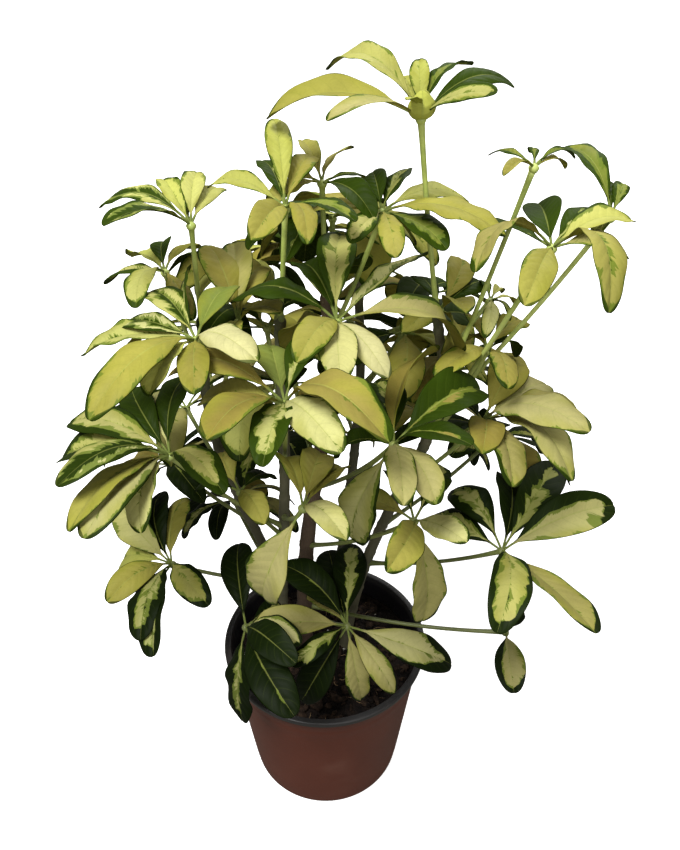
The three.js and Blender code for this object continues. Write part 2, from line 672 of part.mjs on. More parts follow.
for (const frond of fronds) {
  const others = grown.filter(({ owner }) => owner !== frond.name);
  const own = [];
  leafletsOf(frond, frond.number).forEach((leaflet, which) => {
    const framed = (bend) => leafletFrame(frond.frame, frond.number, leaflet, which, leaflet.long, bend);
    const isClear = (bend) => !meets(blade(framed(bend), CLEAR, 0), others);
    const isApart = (bend) => !meets(blade(framed(bend), 0, 1), own);
    const chosen = BENDS.find((bend) => isApart(bend) && isClear(bend)) ?? BENDS.find(isClear);
    if (!chosen) return;
    const whole = blade(framed(chosen), 0, 0);
    own.push({ body: whole, box: whole.boundingBox() });
    remember(frond.name, whole);
    frond.body = frond.body.add(whole);
  });
  plant.add(meshFrom(frond.name, frond.body, leafPaint));
}

export default plant;
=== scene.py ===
# %% [markdown]
# # A potted umbrella plant
#
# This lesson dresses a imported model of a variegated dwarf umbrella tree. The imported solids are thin
# flat-faced plates, bars and a pot. They fix where everything is. Each step below builds one finer
# piece in its place: the formed pot, the potting mix, the woody stems, and every frond with its
# stalk, its hub and its ring of leathery leaflets.

# %% Load the frame
import math

import bpy
import numpy as np
from mathutils import Matrix, Vector, kdtree, noise


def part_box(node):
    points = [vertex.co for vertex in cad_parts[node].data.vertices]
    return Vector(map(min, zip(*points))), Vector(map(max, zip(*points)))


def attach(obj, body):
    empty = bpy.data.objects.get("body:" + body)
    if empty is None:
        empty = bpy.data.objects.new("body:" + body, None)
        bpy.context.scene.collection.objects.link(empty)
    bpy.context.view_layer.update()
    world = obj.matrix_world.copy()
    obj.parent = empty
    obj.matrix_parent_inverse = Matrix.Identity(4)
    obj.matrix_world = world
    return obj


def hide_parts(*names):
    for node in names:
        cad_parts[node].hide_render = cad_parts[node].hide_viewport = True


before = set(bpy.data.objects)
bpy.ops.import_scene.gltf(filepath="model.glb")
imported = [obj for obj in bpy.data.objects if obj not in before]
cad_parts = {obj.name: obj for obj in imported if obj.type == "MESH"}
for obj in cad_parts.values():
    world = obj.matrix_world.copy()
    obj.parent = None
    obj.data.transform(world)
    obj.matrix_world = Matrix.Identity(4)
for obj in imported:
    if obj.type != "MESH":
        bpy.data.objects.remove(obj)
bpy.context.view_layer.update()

MM = 0.001
SCENE = bpy.context.scene
print("nodes in the frame:", len(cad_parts))

# %% [markdown]
# ## The camera
#
# The rim and the foot of the pot show as two ellipses in the photograph. Their widths and heights
# give how far away the camera stood, how high, and how far down it looked. The fronds are placed
# through the same camera, so it comes first. Blender looks along -Z of the camera, so a camera that
# looks down by some angle is tipped forward from a quarter turn by that angle.

# %% Place the camera
PICTURE_WIDE, PICTURE_HIGH = 680, 850
FOCAL_PIXELS = 850
EYE = Vector((9.85, -362.7, 552.9)) * MM
LOOK_DOWN = math.radians(36.55)
SENSOR = 36

camera_data = bpy.data.cameras.new("camera")
camera_data.sensor_fit = "VERTICAL"
camera_data.sensor_height = SENSOR
camera_data.lens = SENSOR * FOCAL_PIXELS / PICTURE_HIGH
camera_data.clip_start = 0.01
camera = bpy.data.objects.new("camera", camera_data)
camera.location = EYE
camera.rotation_euler = (math.pi / 2 - LOOK_DOWN, 0, 0)
SCENE.collection.objects.link(camera)
SCENE.camera = camera
print("camera at", tuple(round(c, 3) for c in EYE), "lens", round(camera_data.lens, 1))

# %% [markdown]
# ## Helpers for shader nodes
#
# A shader is a small network of nodes. A few helpers keep the networks readable: one adds a node
# and feeds its inputs, some do sums, one eases a value from 0 to 1 between two limits, and one
# mixes two colours. An input is either a plain value or the output of another node.

# %% Make shader nodes
def feed(socket, value):
    """Links an output to a socket, or sets the socket's own value."""
    if isinstance(value, bpy.types.NodeSocket):
        socket.id_data.links.new(value, socket)
    else:
        socket.default_value = value


def add_node(tree, kind, inputs=None, **settings):
    """Adds a shader node of a kind, with its settings and its inputs by name or number."""
    node = tree.nodes.new("ShaderNode" + kind)
    for name, value in settings.items():
        setattr(node, name, value)
    for name, value in (inputs or {}).items():
        feed(node.inputs[name], value)
    return node


def sums(tree, operation, first, second=0.0):
    """The result of a sum on one or two values."""
    return add_node(tree, "Math", {0: first, 1: second}, operation=operation).outputs[0]


def plus(tree, first, second):
    """Two values added."""
    return sums(tree, "ADD", first, second)


def minus(tree, first, second):
    """The second value taken from the first."""
    return sums(tree, "SUBTRACT", first, second)


def times(tree, first, second):
    """Two values multiplied."""
    return sums(tree, "MULTIPLY", first, second)


def weighed(tree, *terms):
    """The sum of some values, each times its weight."""
    total = 0.0
    for value, weight in terms:
        total = plus(tree, total, times(tree, value, weight))
    return total


def eased(tree, value, low, high):
    """0 below low, 1 above high, and a smooth step between them."""
    span = {"Value": value, "From Min": low, "From Max": high}
    return add_node(tree, "MapRange", span, interpolation_type="SMOOTHSTEP").outputs[0]


def mixed(tree, share, first, second, how="MIX"):
    """One colour turning into another as a share goes from 0 to 1."""
    node = add_node(tree, "Mix", {0: share, 6: first, 7: second}, data_type="RGBA", blend_type=how)
    return node.outputs[2]


def noise_at(tree, place, scale, detail=2.0, rough=0.5):
    """A noise node read at a place."""
    inputs = {"Vector": place, "Scale": scale, "Detail": detail, "Roughness": rough}
    return add_node(tree, "TexNoise", inputs).outputs


def roughened(tree, height, depth, strength=1.0):
    """A surface normal pushed about by a height, whose full depth is given in millimetres."""
    inputs = {"Height": height, "Distance": depth * MM, "Strength": strength}
    return add_node(tree, "Bump", inputs).outputs[0]

# %% Start groups and materials
def start_group(name, takes, gives):
    """A node group with named inputs and outputs: its tree, what comes in and what goes out."""
    group = bpy.data.node_groups.new(name, "ShaderNodeTree")
    for label, value in takes.items():
        kind = "NodeSocketColor" if isinstance(value, tuple) else "NodeSocketFloat"
        socket = group.interface.new_socket(name=label, in_out="INPUT", socket_type=kind)
        socket.default_value = value
    for label, kind in gives.items():
        group.interface.new_socket(name=label, in_out="OUTPUT", socket_type="NodeSocket" + kind)
    inside = group.nodes.new("NodeGroupInput").outputs
    outside = group.nodes.new("NodeGroupOutput").inputs
    return group, inside, outside


def use_group(tree, group, inputs):
    """Places a node group in a material, with its own values."""
    return add_node(tree, "Group", inputs, node_tree=group).outputs


def start_material(name):
    """An empty material: it, its tree and its Principled shader, already on the output."""
    material = bpy.data.materials.new(name)
    material.use_nodes = True
    shader = material.node_tree.nodes["Principled BSDF"]
    return material, material.node_tree, shader.inputs


def dress(shader, colour, roughness, normal):
    """Feeds a shader its colour, its roughness and its surface."""
    feed(shader["Base Color"], colour)
    feed(shader["Roughness"], roughness)
    feed(shader["Normal"], normal)

# %% [markdown]
# ## Light
#
# The plant was photographed in broad soft light against plain white. A grey even sky gives the open
# shade between the leaves, a wide lamp from the upper left gives them their soft gloss and a
# direction, one from the front lights the hanging leaves, and one from behind the far edges. Only
# the camera sees the white background, because a white sky would also wash out the dark leaves.

# %% Light the studio
PLANT_MIDDLE = Vector((0, 0, 0.28))
LAMPS = {
    "key_lamp": dict(place=(-1.08, -1.44, 3.58), wide=1.44, watts=186),
    "fill_lamp": dict(place=(0.9, -2.2, 1.0), wide=1.6, watts=17),
    "back_lamp": dict(place=(0.5, 1.4, 1.6), wide=1.2, watts=18),
}
SKY_GLOW = (0.34, 0.33, 0.30, 1)
BACKDROP_WHITE = (1.0, 1.0, 1.0, 1)

for name, lamp in LAMPS.items():
    data = bpy.data.lights.new(name, "AREA")
    data.size = lamp["wide"]
    data.energy = lamp["watts"]
    light = bpy.data.objects.new(name, data)
    light.location = lamp["place"]
    aim = PLANT_MIDDLE - Vector(lamp["place"])
    light.rotation_euler = aim.to_track_quat("-Z", "Y").to_euler()
    SCENE.collection.objects.link(light)

sky = bpy.data.worlds.new("sky")
sky.use_nodes = True
backdrop = sky.node_tree.nodes["Background"].inputs["Color"]
seen = add_node(sky.node_tree, "LightPath").outputs["Is Camera Ray"]
feed(backdrop, mixed(sky.node_tree, seen, SKY_GLOW, BACKDROP_WHITE))
SCENE.world = sky
SCENE.view_settings.view_transform = "Standard"
SCENE.view_settings.look = "None"
print("lamps:", list(LAMPS), "and the sky:", sky.name)

# %% [markdown]
# ## Effects that several finishes share
#
# Nothing that grew or was moulded is one even colour. The first group below drifts a colour a
# little lighter and darker over a few centimetres and adds fine specks. The second one gives a fine
# grain as a height, which every finish here uses at its own scale: pits in plastic, fibres in bark,
# the skin of a leaf. The third darkens a colour low on the plant: partly because older growth is
# duller and darker, and partly as painted shade, the shade that the canopy casts on the lower leaves
# and stalks. All read the object's own coordinates in metres, so they need no unwrapping.

# %% Build the mottle group
MM_A_METRE = 1000.0
SPECKS_A_METRE = 900.0
net, taken, given = start_group(
    "mottle",
    {"Colour": (0.5, 0.5, 0.5, 1), "Patch size": 20.0, "Drift": 0.2, "Specks": 0.1},
    {"Colour": "Color", "Patches": "Float"})
place = add_node(net, "TexCoord").outputs["Object"]
patches = noise_at(net, place, sums(net, "DIVIDE", MM_A_METRE, taken["Patch size"]), 3.0, 0.55)
specks = noise_at(net, place, SPECKS_A_METRE, 2.0, 0.6)
drift = times(net, minus(net, patches[0], 0.5), taken["Drift"])
speck = times(net, minus(net, specks[0], 0.5), taken["Specks"])
level = plus(net, times(net, plus(net, drift, speck), 2.0), 1.0)
grey = add_node(net, "CombineColor", {0: level, 1: level, 2: level}).outputs[0]
feed(given["Colour"], mixed(net, 1.0, taken["Colour"], grey, "MULTIPLY"))
feed(given["Patches"], patches[0])
mottle = net
print(mottle.name, "has", len(mottle.nodes), "nodes")

# %% Build the grain group
PIT_REACH = 0.35
net, taken, given = start_group(
    "grain", {"Size": 1.0, "Stretch": 1.0, "Pits": 0.5}, {"Height": "Float", "Pits": "Float"})
place = add_node(net, "TexCoord").outputs["Object"]
stretched = add_node(net, "CombineXYZ", {0: 1.0, 1: 1.0, 2: taken["Stretch"]}).outputs[0]
place = add_node(net, "VectorMath", {0: place, 1: stretched}, operation="MULTIPLY").outputs[0]
fineness = sums(net, "DIVIDE", MM_A_METRE, taken["Size"])
fibres = noise_at(net, place, fineness, 4.0, 0.65)
cells = add_node(net, "TexVoronoi", {"Vector": place, "Scale": fineness}).outputs["Distance"]
pits = times(net, eased(net, cells, PIT_REACH, 0.0), taken["Pits"])
feed(given["Height"], minus(net, fibres[0], pits))
feed(given["Pits"], pits)
grain = net
print(grain.name, "has", len(grain.nodes), "nodes")

# %% Build the age and painted shade group
net, taken, given = start_group(
    "aged_and_painted_shade", {"Colour": (0.5, 0.5, 0.5, 1), "Old shaded colour": (0.2, 0.2, 0.2, 1), "Share": 1.0,
             "Full colour above": 0.43, "Darkest below": 0.20}, {"Colour": "Color"})
place = add_node(net, "TexCoord").outputs["Object"]
height = add_node(net, "SeparateXYZ", {0: place}).outputs[2]
wander = times(net, noise_at(net, place, 30.0, 2.0)[0], 0.05)
# Darker below a height: partly older growth, partly painted shade low in the plant
old_and_shaded = eased(net, plus(net, height, wander), taken["Full colour above"], taken["Darkest below"])
share = times(net, old_and_shaded, taken["Share"])
feed(given["Colour"], mixed(net, share, taken["Colour"], taken["Old shaded colour"]))
aged_and_painted_shade = net
print("shared groups:", [g.name for g in bpy.data.node_groups])

# %% [markdown]
# ## The colours of a leaflet
#
# A variegated leaf grows from layers of cells, and some layers carry no green. Where all of them
# are green the leaf is dark, where only an inner one is it is grey-green, and where none is it is
# cream. The borders run along the side veins, because each strip of blade grew out beside its vein,
# so a dark margin reaches inwards in ragged flames, and the pale middle flushes green towards it.
# A painted picture could do this, but a formula in the leaflet's own coordinates gives every
# leaflet its own pattern.
#
# Each leaflet carries four attributes: its blade coordinates (how far along, how far across from
# -1 to 1, and a seed), its pattern (how far the pale middle reaches, how ragged it is, how much
# dark lies along the midrib), its tint (how lime, how green, how dull) and its border (how
# one-sided it is, and how much darker its tip is).

# %% Lay noise along the side veins
VEIN_SLANT = 0.17
HALVES_APART = 7.3
LEAVES_APART = 61.0
net, taken, given = start_group(
    "variegation",
    {"Along": 0.5, "Across": 0.0, "Seed": 0.0, "Reach": 0.8, "Flame": 0.3, "Heart": 0.1,
     "Lean": 0.0, "Dark tip": 0.0},
    {"Dark": "Float", "Middle": "Float", "Flush": "Float"})
variegation = net
away = sums(net, "ABSOLUTE", taken["Across"])
half = times(net, sums(net, "GREATER_THAN", taken["Across"], 0.0), HALVES_APART)
vein = minus(net, taken["Along"], times(net, away, VEIN_SLANT))
leaf = times(net, taken["Seed"], LEAVES_APART)


def streaks(across_veins, along_veins, detail):
    """Three patterns of noise, in long strips that run beside the side veins."""
    along = plus(net, times(net, away, along_veins), half)
    place = {0: times(net, vein, across_veins), 1: along, 2: leaf}
    vector = add_node(net, "CombineXYZ", place).outputs[0]
    colour = noise_at(net, vector, 1.0, detail, 0.55)["Color"]
    parts = add_node(net, "SeparateColor", {0: colour}).outputs
    return [minus(net, part, 0.5) for part in parts[:3]]


flames = streaks(6.5, 0.8, 1.0)
teeth = streaks(34.0, 1.3, 2.0)
broad = streaks(2.6, 0.5, 0.0)
print("streaks:", len(flames + teeth + broad))

# %% Draw the dark margin, the islands and the flush
tip = times(net, eased(net, taken["Along"], 0.82, 1.0), 0.95)
to_rim = sums(net, "SQRT", plus(net, sums(net, "POWER", away, 2.0), sums(net, "POWER", tip, 2.0)))
ragged = weighed(net, (flames[0], taken["Flame"]), (teeth[0], times(net, taken["Flame"], 0.22)))
dark_tip = times(net, eased(net, taken["Along"], 0.4, 0.95), taken["Dark tip"])
reach = weighed(net, (taken["Reach"], 1.0), (ragged, 1.7), (broad[0], 0.7),
                (taken["Lean"], taken["Across"]), (dark_tip, -1.0))
past = minus(net, to_rim, reach)
islands = weighed(net, (taken["Heart"], 1.0), (away, -1.2), (flames[1], 1.5), (teeth[1], 1.0),
                  (broad[1], 0.8))
rim_line = times(net, eased(net, to_rim, 0.95, 0.985), 0.8)
rim_dark = sums(net, "MAXIMUM", eased(net, past, -0.02, 0.025), rim_line)
feed(given["Dark"], sums(net, "MAXIMUM", rim_dark, eased(net, islands, 0.0, 0.05)))
rim_middle = weighed(net, (past, 1.0), (flames[2], 0.9), (teeth[2], 0.5))
island_middle = weighed(net, (islands, 1.0), (teeth[2], 0.6))
feed(given["Middle"], sums(net, "MAXIMUM", eased(net, rim_middle, -0.16, -0.1),
                           eased(net, island_middle, -0.3, -0.22)))
flush = weighed(net, (to_rim, 0.8), (broad[2], 1.7), (flames[0], 0.6), (teeth[0], 0.25))
feed(given["Flush"], eased(net, flush, 0.2, 1.1))
print("the variegation group has", len(variegation.nodes), "nodes")

# %% [markdown]
# The veins come next. The midrib is a pale line, and on each side about nine veins leave it at the
# slant above. They show as fine lines in the colour and as shallow grooves on the upper side, where
# the blade between them swells a little. On the underside the same lines stand proud.

# %% Build the vein group
SIDE_VEINS = 9.0
VEIN_BOW = 1.4
net, taken, given = start_group(
    "veins", {"Along": 0.5, "Across": 0.0, "Side veins": SIDE_VEINS},
    {"Midrib": "Float", "Veins": "Float", "Height": "Float", "Stalk": "Float"})
away = sums(net, "ABSOLUTE", taken["Across"])
bowed = times(net, sums(net, "POWER", away, VEIN_BOW), VEIN_SLANT)
step = sums(net, "FRACT", times(net, minus(net, taken["Along"], bowed), taken["Side veins"]))
from_vein = sums(net, "ABSOLUTE", minus(net, step, 0.5))
fade = eased(net, away, 0.95, 0.55)
rib_wide = plus(net, 0.02, times(net, eased(net, taken["Along"], 0.9, 0.0), 0.05))
midrib = eased(net, sums(net, "DIVIDE", away, rib_wide), 1.3, 0.5)
swell = times(net, eased(net, from_vein, 0.0, 0.45), fade)
feed(given["Midrib"], midrib)
feed(given["Veins"], times(net, eased(net, from_vein, 0.09, 0.0), fade))
feed(given["Height"], minus(net, swell, times(net, midrib, 0.8)))
feed(given["Stalk"], eased(net, taken["Along"], 0.035, -0.01))
veins = net
print("the vein group has", len(veins.nodes), "nodes")

# %% [markdown]
# The upper and the under side of a leaflet are two materials. Both use the same pattern, so a dark
# margin shows dark from either side. The upper side is smooth and waxy. The under side is matt, and
# its green looks olive; its cream and lime are painted much darker than on the upper side, partly its
# duller hue and partly painted shade. Some light passes through the thin blade, which a translucent
# shader mixed into the Principled one gives.

# %% Paint the leaflets
STALK_COLOUR = (0.26, 0.32, 0.08, 1)
# Low on the plant the leaflets darken towards these: partly older growth, partly painted shade under the
# canopy
OLD_AND_SHADED_TINT = (0.36, 0.355, 0.38, 1)
OLD_AND_SHADED_DARK = (0.008, 0.016, 0.002, 1)
LEAF_SHINE = 0.06


def read_mark(tree, name):
    """The three parts of an attribute that each leaflet carries."""
    mark = add_node(tree, "Attribute", attribute_name=name).outputs["Vector"]
    return add_node(tree, "SeparateXYZ", {0: mark}).outputs


def leaflet_colour(tree, cream, lime, flush, middle, dull, dark, rib):
    """The colour of a side of a leaflet, and the height of its veins."""
    blade, pattern = read_mark(tree, "blade"), read_mark(tree, "pattern")
    tint, border = read_mark(tree, "tint"), read_mark(tree, "border")
    masks = use_group(tree, variegation, {
        "Along": blade[0], "Across": blade[1], "Seed": blade[2], "Reach": pattern[0],
        "Flame": pattern[1], "Heart": pattern[2], "Lean": border[0], "Dark tip": border[1]})
    lines = use_group(tree, veins, {"Along": blade[0], "Across": blade[1]})
    pale = cream
    for share, towards in [(tint[0], lime), (tint[1], middle), (tint[2], dull),
                           (times(tree, masks["Flush"], 0.6), flush),
                           (times(tree, lines["Veins"], 0.12), middle),
                           (times(tree, masks["Middle"], 0.85), middle)]:
        pale = mixed(tree, share, pale, towards)
    # The dark green darkens low on the plant: older growth and painted shade
    dark = use_group(tree, aged_and_painted_shade, {"Colour": dark, "Old shaded colour": OLD_AND_SHADED_DARK})["Colour"]
    deep = mixed(tree, times(tree, lines["Veins"], 0.08), dark, middle)
    colour = mixed(tree, masks["Dark"], pale, deep)
    colour = mixed(tree, times(tree, lines["Midrib"], 0.4), colour, rib)
    colour = mixed(tree, lines["Stalk"], colour, STALK_COLOUR)
    # The whole colour darkens low on the plant, partly as older growth and partly as painted shade under
    # the canopy
    colour = use_group(tree, aged_and_painted_shade, {
        "Colour": colour, "Old shaded colour": mixed(tree, 1.0, colour, OLD_AND_SHADED_TINT, "MULTIPLY"),
        "Full colour above": 0.30, "Darkest below": 0.09})["Colour"]
    return colour, lines["Height"]


def paint_leaflet(name, roughness, through, relief, **colours):
    """A side of the leaflets: its colours, how rough it is, and how much light passes through."""
    material, tree, shader = start_material(name)
    colour, veined = leaflet_colour(tree, **colours)
    drifted = use_group(tree, mottle, {
        "Colour": colour, "Patch size": 26.0, "Drift": 0.35, "Specks": 0.12})
    skin = use_group(tree, grain, {"Size": 0.9, "Pits": 0.3})
    height = plus(tree, times(tree, veined, relief), times(tree, skin["Height"], 0.12))
    normal = roughened(tree, height, 0.25)
    uneven = times(tree, minus(tree, drifted["Patches"], 0.5), 0.25)
    dress(shader, drifted["Colour"], plus(tree, roughness, uneven), normal)
    shader["Specular IOR Level"].default_value = LEAF_SHINE
    glow = add_node(tree, "BsdfTranslucent", {"Color": drifted["Colour"], "Normal": normal})
    both = add_node(tree, "MixShader", {0: through, 1: tree.nodes["Principled BSDF"].outputs[0],
                                        2: glow.outputs[0]})
    feed(tree.nodes["Material Output"].inputs["Surface"], both.outputs[0])
    return material


leaf_upper = paint_leaflet(
    "leaf_upper", cream=(0.70, 0.67, 0.34, 1), lime=(0.56, 0.58, 0.10, 1),
    flush=(0.31, 0.31, 0.035, 1), middle=(0.14, 0.20, 0.02, 1), dull=(0.30, 0.245, 0.05, 1),
    dark=(0.034, 0.063, 0.003, 1), rib=(0.40, 0.44, 0.10, 1), roughness=0.48, through=0.2,
    relief=0.45)
# The under side: matt and olive, with its pale colours painted darker as painted shade
leaf_under_painted_shade = paint_leaflet(
    "leaf_under_painted_shade", cream=(0.42, 0.39, 0.12, 1), lime=(0.36, 0.38, 0.06, 1),
    flush=(0.24, 0.26, 0.035, 1), middle=(0.14, 0.17, 0.025, 1), dull=(0.27, 0.225, 0.04, 1),
    dark=(0.040, 0.064, 0.006, 1), rib=(0.36, 0.36, 0.10, 1), roughness=0.62, through=0.2,
    relief=-0.7)
print("leaf finishes:", leaf_upper.name, leaf_under_painted_shade.name)

# %% [markdown]
# ## Gathering a piece
#
# A frond is a dozen closed shapes: a stalk, a hub and its leaflets. Each shape is worked out as a
# list of rings of points, and a small class gathers them and makes one mesh of them. All rings of a
# shape have the same number of points, so four-sided faces join each ring to the next, and a flat
# cap closes each of the two ends.

# %% Gather shapes into one mesh
class Gathering:
    """Closed shapes that become one object, with their materials and point attributes."""

    def __init__(self):
        self.points, self.faces, self.slots, self.marks = [], [], [], {}
        self.count = 0

    def add(self, points, faces, slots, **marks):
        """Adds a closed shape: its points, its faces, the material of each and its attributes."""
        self.points.append(points)
        self.faces.extend([[v + self.count for v in face] for face in faces])
        self.slots.extend(slots)
        for name, rows in marks.items():
            self.marks.setdefault(name, []).append((self.count, np.asarray(rows)))
        self.count += len(points)

    def add_rings(self, rings, slot=0, **marks):
        """Adds a closed shape made of rings of points, capped at both ends."""
        rings = np.asarray(rings)
        faces = ring_faces(len(rings), rings.shape[1])
        self.add(rings.reshape(-1, 3), faces, [slot] * len(faces), **marks)

    def make(self, name, materials):
        """Makes the object, smooth all over."""
        mesh = bpy.data.meshes.new(name)
        mesh.from_pydata(np.concatenate(self.points).tolist(), [], self.faces)
        mesh.polygons.foreach_set("use_smooth", [True] * len(mesh.polygons))
        mesh.polygons.foreach_set("material_index", self.slots)
        for label, parts in self.marks.items():
            rows = np.zeros((self.count, 3), np.float32)
            for start, part in parts:
                rows[start:start + len(part)] = part
            mark = mesh.attributes.new(label, "FLOAT_VECTOR", "POINT")
            mark.data.foreach_set("vector", rows.ravel())
        for material in materials:
            mesh.materials.append(material)
        mesh.update()
        piece = bpy.data.objects.new(name, mesh)
        SCENE.collection.objects.link(piece)
        return piece


def stand_for(piece, *nodes, slot):
    """The piece rides on the body and takes the place of its solids; the slot it is given is not used.
    """
    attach(piece, "root")
    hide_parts(*nodes)
    print(piece.name, "faces:", len(piece.data.polygons))

# %% Sweep rings along a line
def ring_faces(rings, around):
    """The faces of a closed shape whose points come ring by ring."""
    faces = []
    for ring in range(rings - 1):
        for side in range(around):
            here = ring * around + side
            beside = ring * around + (side + 1) % around
            faces.append([here, beside, beside + around, here + around])
    last = (rings - 1) * around
    return faces + [list(range(around))[::-1], [last + side for side in range(around)]]


def round_angles(count):
    """Even angles round a circle, in radians."""
    return np.linspace(0, 2 * math.pi, count, endpoint=False)


def circle(radius, z, angles):
    """Points round the upright axis."""
    return [(radius * math.cos(a), radius * math.sin(a), z) for a in angles]


def tube(centres, radii, sides):
    """Rings round a line of points. Each ring turns as little as it can from the one before."""
    centres = np.asarray(centres, float)
    ways = np.gradient(centres, axis=0)
    ways /= np.linalg.norm(ways, axis=1)[:, None]
    across = np.array([1.0, 0.0, 0.0])
    angles = round_angles(sides)
    rings = []
    for centre, way, radius in zip(centres, ways, radii):
        across = across - way * across.dot(way)
        across /= np.linalg.norm(across)
        beside = np.cross(way, across)
        spokes = np.outer(np.cos(angles), across) + np.outer(np.sin(angles), beside)
        rings.append(centre + spokes * radius)
    return np.array(rings)


print("a tube of two square rings has", len(ring_faces(2, 4)), "faces")

# %% [markdown]
# ## The pot
#
# The pot is a nursery pot, formed from a thin two-layer sheet: brown outside and black inside, so
# the cut and rolled lip shows grey. It is a turned shape, so a profile swept round an axis makes
# it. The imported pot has 32 flat sides, and this one has many more, a round-topped lip, a shallow
# bead below it and a slightly raised middle of its foot. The drain holes are cut with a Boolean,
# as the forming tool punches them.

# %% Finish the pot's plastic
DUST = (0.42, 0.33, 0.27, 1)


def paint_plastic(name, colour, roughness, scuffs, shine):
    """Formed plastic: fine haze and pits, faint scuffs, and a soft shine."""
    material, tree, shader = start_material(name)
    drifted = use_group(tree, mottle, {
        "Colour": colour, "Patch size": 34.0, "Drift": 0.22, "Specks": 0.1})
    skin = use_group(tree, grain, {"Size": 0.7, "Stretch": 0.25, "Pits": 0.4})
    worn = eased(tree, drifted["Patches"], 0.52, 0.75)
    dusty = mixed(tree, times(tree, worn, scuffs), drifted["Colour"], DUST)
    dress(shader, dusty, plus(tree, roughness, times(tree, worn, 0.2)),
          roughened(tree, skin["Height"], 0.05, 0.6))
    shader["Specular IOR Level"].default_value = shine
    return material


outer_plastic = paint_plastic(
    "outer_plastic", (0.092, 0.0225, 0.012, 1), roughness=0.5, scuffs=0.06, shine=0.25)
inner_plastic = paint_plastic(
    "inner_plastic", (0.010, 0.009, 0.011, 1), roughness=0.3, scuffs=0.05, shine=0.45)
lip_plastic = paint_plastic(
    "lip_plastic", (0.022, 0.021, 0.021, 1), roughness=0.42, scuffs=0.1, shine=0.3)
print("pot finishes:", outer_plastic.name, inner_plastic.name, lip_plastic.name)

# %% Draw the pot's profile
POT_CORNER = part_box("pot")[1]
RIM_RADIUS = POT_CORNER.x
POT_HEIGHT = POT_CORNER.z
FOOT_RADIUS = 50 * MM
FOOT_CORNER = 3 * MM
FOOT_RAISED = 0.6 * MM
WALL = 1.5 * MM
LIP_WIDE = 2.6 * MM
LIP_HIGH = 3.6 * MM
LIP_ROUND = 1.1 * MM
LIP_EDGE = 0.6 * MM
BEAD_BELOW = 17 * MM
BEAD_PROUD = 0.4 * MM


def wall_radius(z):
    """The outer radius of the pot's wall at a height."""
    return FOOT_RADIUS + (RIM_RADIUS - LIP_WIDE - FOOT_RADIUS) * z / POT_HEIGHT


def arc(centre, radius, start, end, points):
    """Points of a round corner in the profile, by its start and end angles in degrees."""
    angles = np.radians(np.linspace(start, end, points))
    return [(centre[0] + radius * math.cos(a), centre[1] + radius * math.sin(a)) for a in angles]


def pot_profile():
    """The profile from the middle of the foot, up the outside, over the lip and down inside."""
    outside = [(0.0, FOOT_RAISED), (FOOT_RADIUS - 16 * MM, FOOT_RAISED),
               (FOOT_RADIUS - 14 * MM, 0.0)]
    outside += arc((FOOT_RADIUS - FOOT_CORNER, FOOT_CORNER), FOOT_CORNER, -90, -8, 9)
    bead = POT_HEIGHT - BEAD_BELOW
    outside += [(wall_radius(z), z) for z in np.linspace(12 * MM, bead - 3 * MM, 12)]
    outside += [(wall_radius(bead) + BEAD_PROUD - 0.05 * MM, bead),
                (wall_radius(bead) + BEAD_PROUD, bead + 2 * MM)]
    under_lip = POT_HEIGHT - LIP_HIGH
    outside.append((wall_radius(under_lip), under_lip - 1.2 * MM))
    lip = [(RIM_RADIUS - 0.7 * MM, under_lip), (RIM_RADIUS - 0.1 * MM, under_lip + 0.5 * MM)]
    lip += arc((RIM_RADIUS - LIP_ROUND, POT_HEIGHT - LIP_ROUND), LIP_ROUND, 0, 90, 7)
    inner_rim = wall_radius(POT_HEIGHT) - WALL
    lip += arc((inner_rim + LIP_EDGE, POT_HEIGHT - LIP_EDGE), LIP_EDGE, 90, 180, 5)
    inside = [(wall_radius(z) - WALL, z) for z in np.linspace(POT_HEIGHT - 4 * MM, 8 * MM, 8)]
    inside += [(FOOT_RADIUS - FOOT_CORNER, WALL), (0.0, WALL)]
    return outside, lip, inside


print("the profile has", sum(len(part) for part in pot_profile()), "points")

# %% Turn the pot
POT_SIDES = 144


def turn_pot():
    """The pot's skin: rings round the axis, one for each point of the profile."""
    outside, lip, inside = pot_profile()
    profile = outside + lip + inside
    angles = round_angles(POT_SIDES)
    points = [(0.0, 0.0, profile[0][1])]
    for radius, z in profile[1:-1]:
        points += circle(radius, z, angles)
    points.append((0.0, 0.0, profile[-1][1]))
    rows = len(profile) - 2
    faces = [[0, 1 + (s + 1) % POT_SIDES, 1 + s] for s in range(POT_SIDES)]
    slots = [0] * POT_SIDES
    for row in range(rows - 1):
        slot = 0 if row + 2 <= len(outside) else 1 if row + 2 <= len(outside) + len(lip) else 2
        for side in range(POT_SIDES):
            here, beside = row * POT_SIDES + side + 1, row * POT_SIDES + (side + 1) % POT_SIDES + 1
            faces.append([here, beside, beside + POT_SIDES, here + POT_SIDES])
            slots.append(slot)
    last = (rows - 1) * POT_SIDES + 1
    for side in range(POT_SIDES):
        faces.append([last + side, last + (side + 1) % POT_SIDES, len(points) - 1])
        slots.append(2)
    gathered = Gathering()
    gathered.add(np.array(points), faces, slots)
    return gathered.make("nursery_pot", [outer_plastic, lip_plastic, inner_plastic])


nursery_pot = turn_pot()
print("the pot is", round(POT_HEIGHT / MM), "mm tall and", round(RIM_RADIUS * 2 / MM), "mm wide")

# %% Punch the drain holes
DRAIN_HOLES = 4
DRAIN_RING = 29 * MM
DRAIN_RADIUS = 4 * MM
PUNCH_HIGH = 5 * MM
PUNCH_SIDES = 24


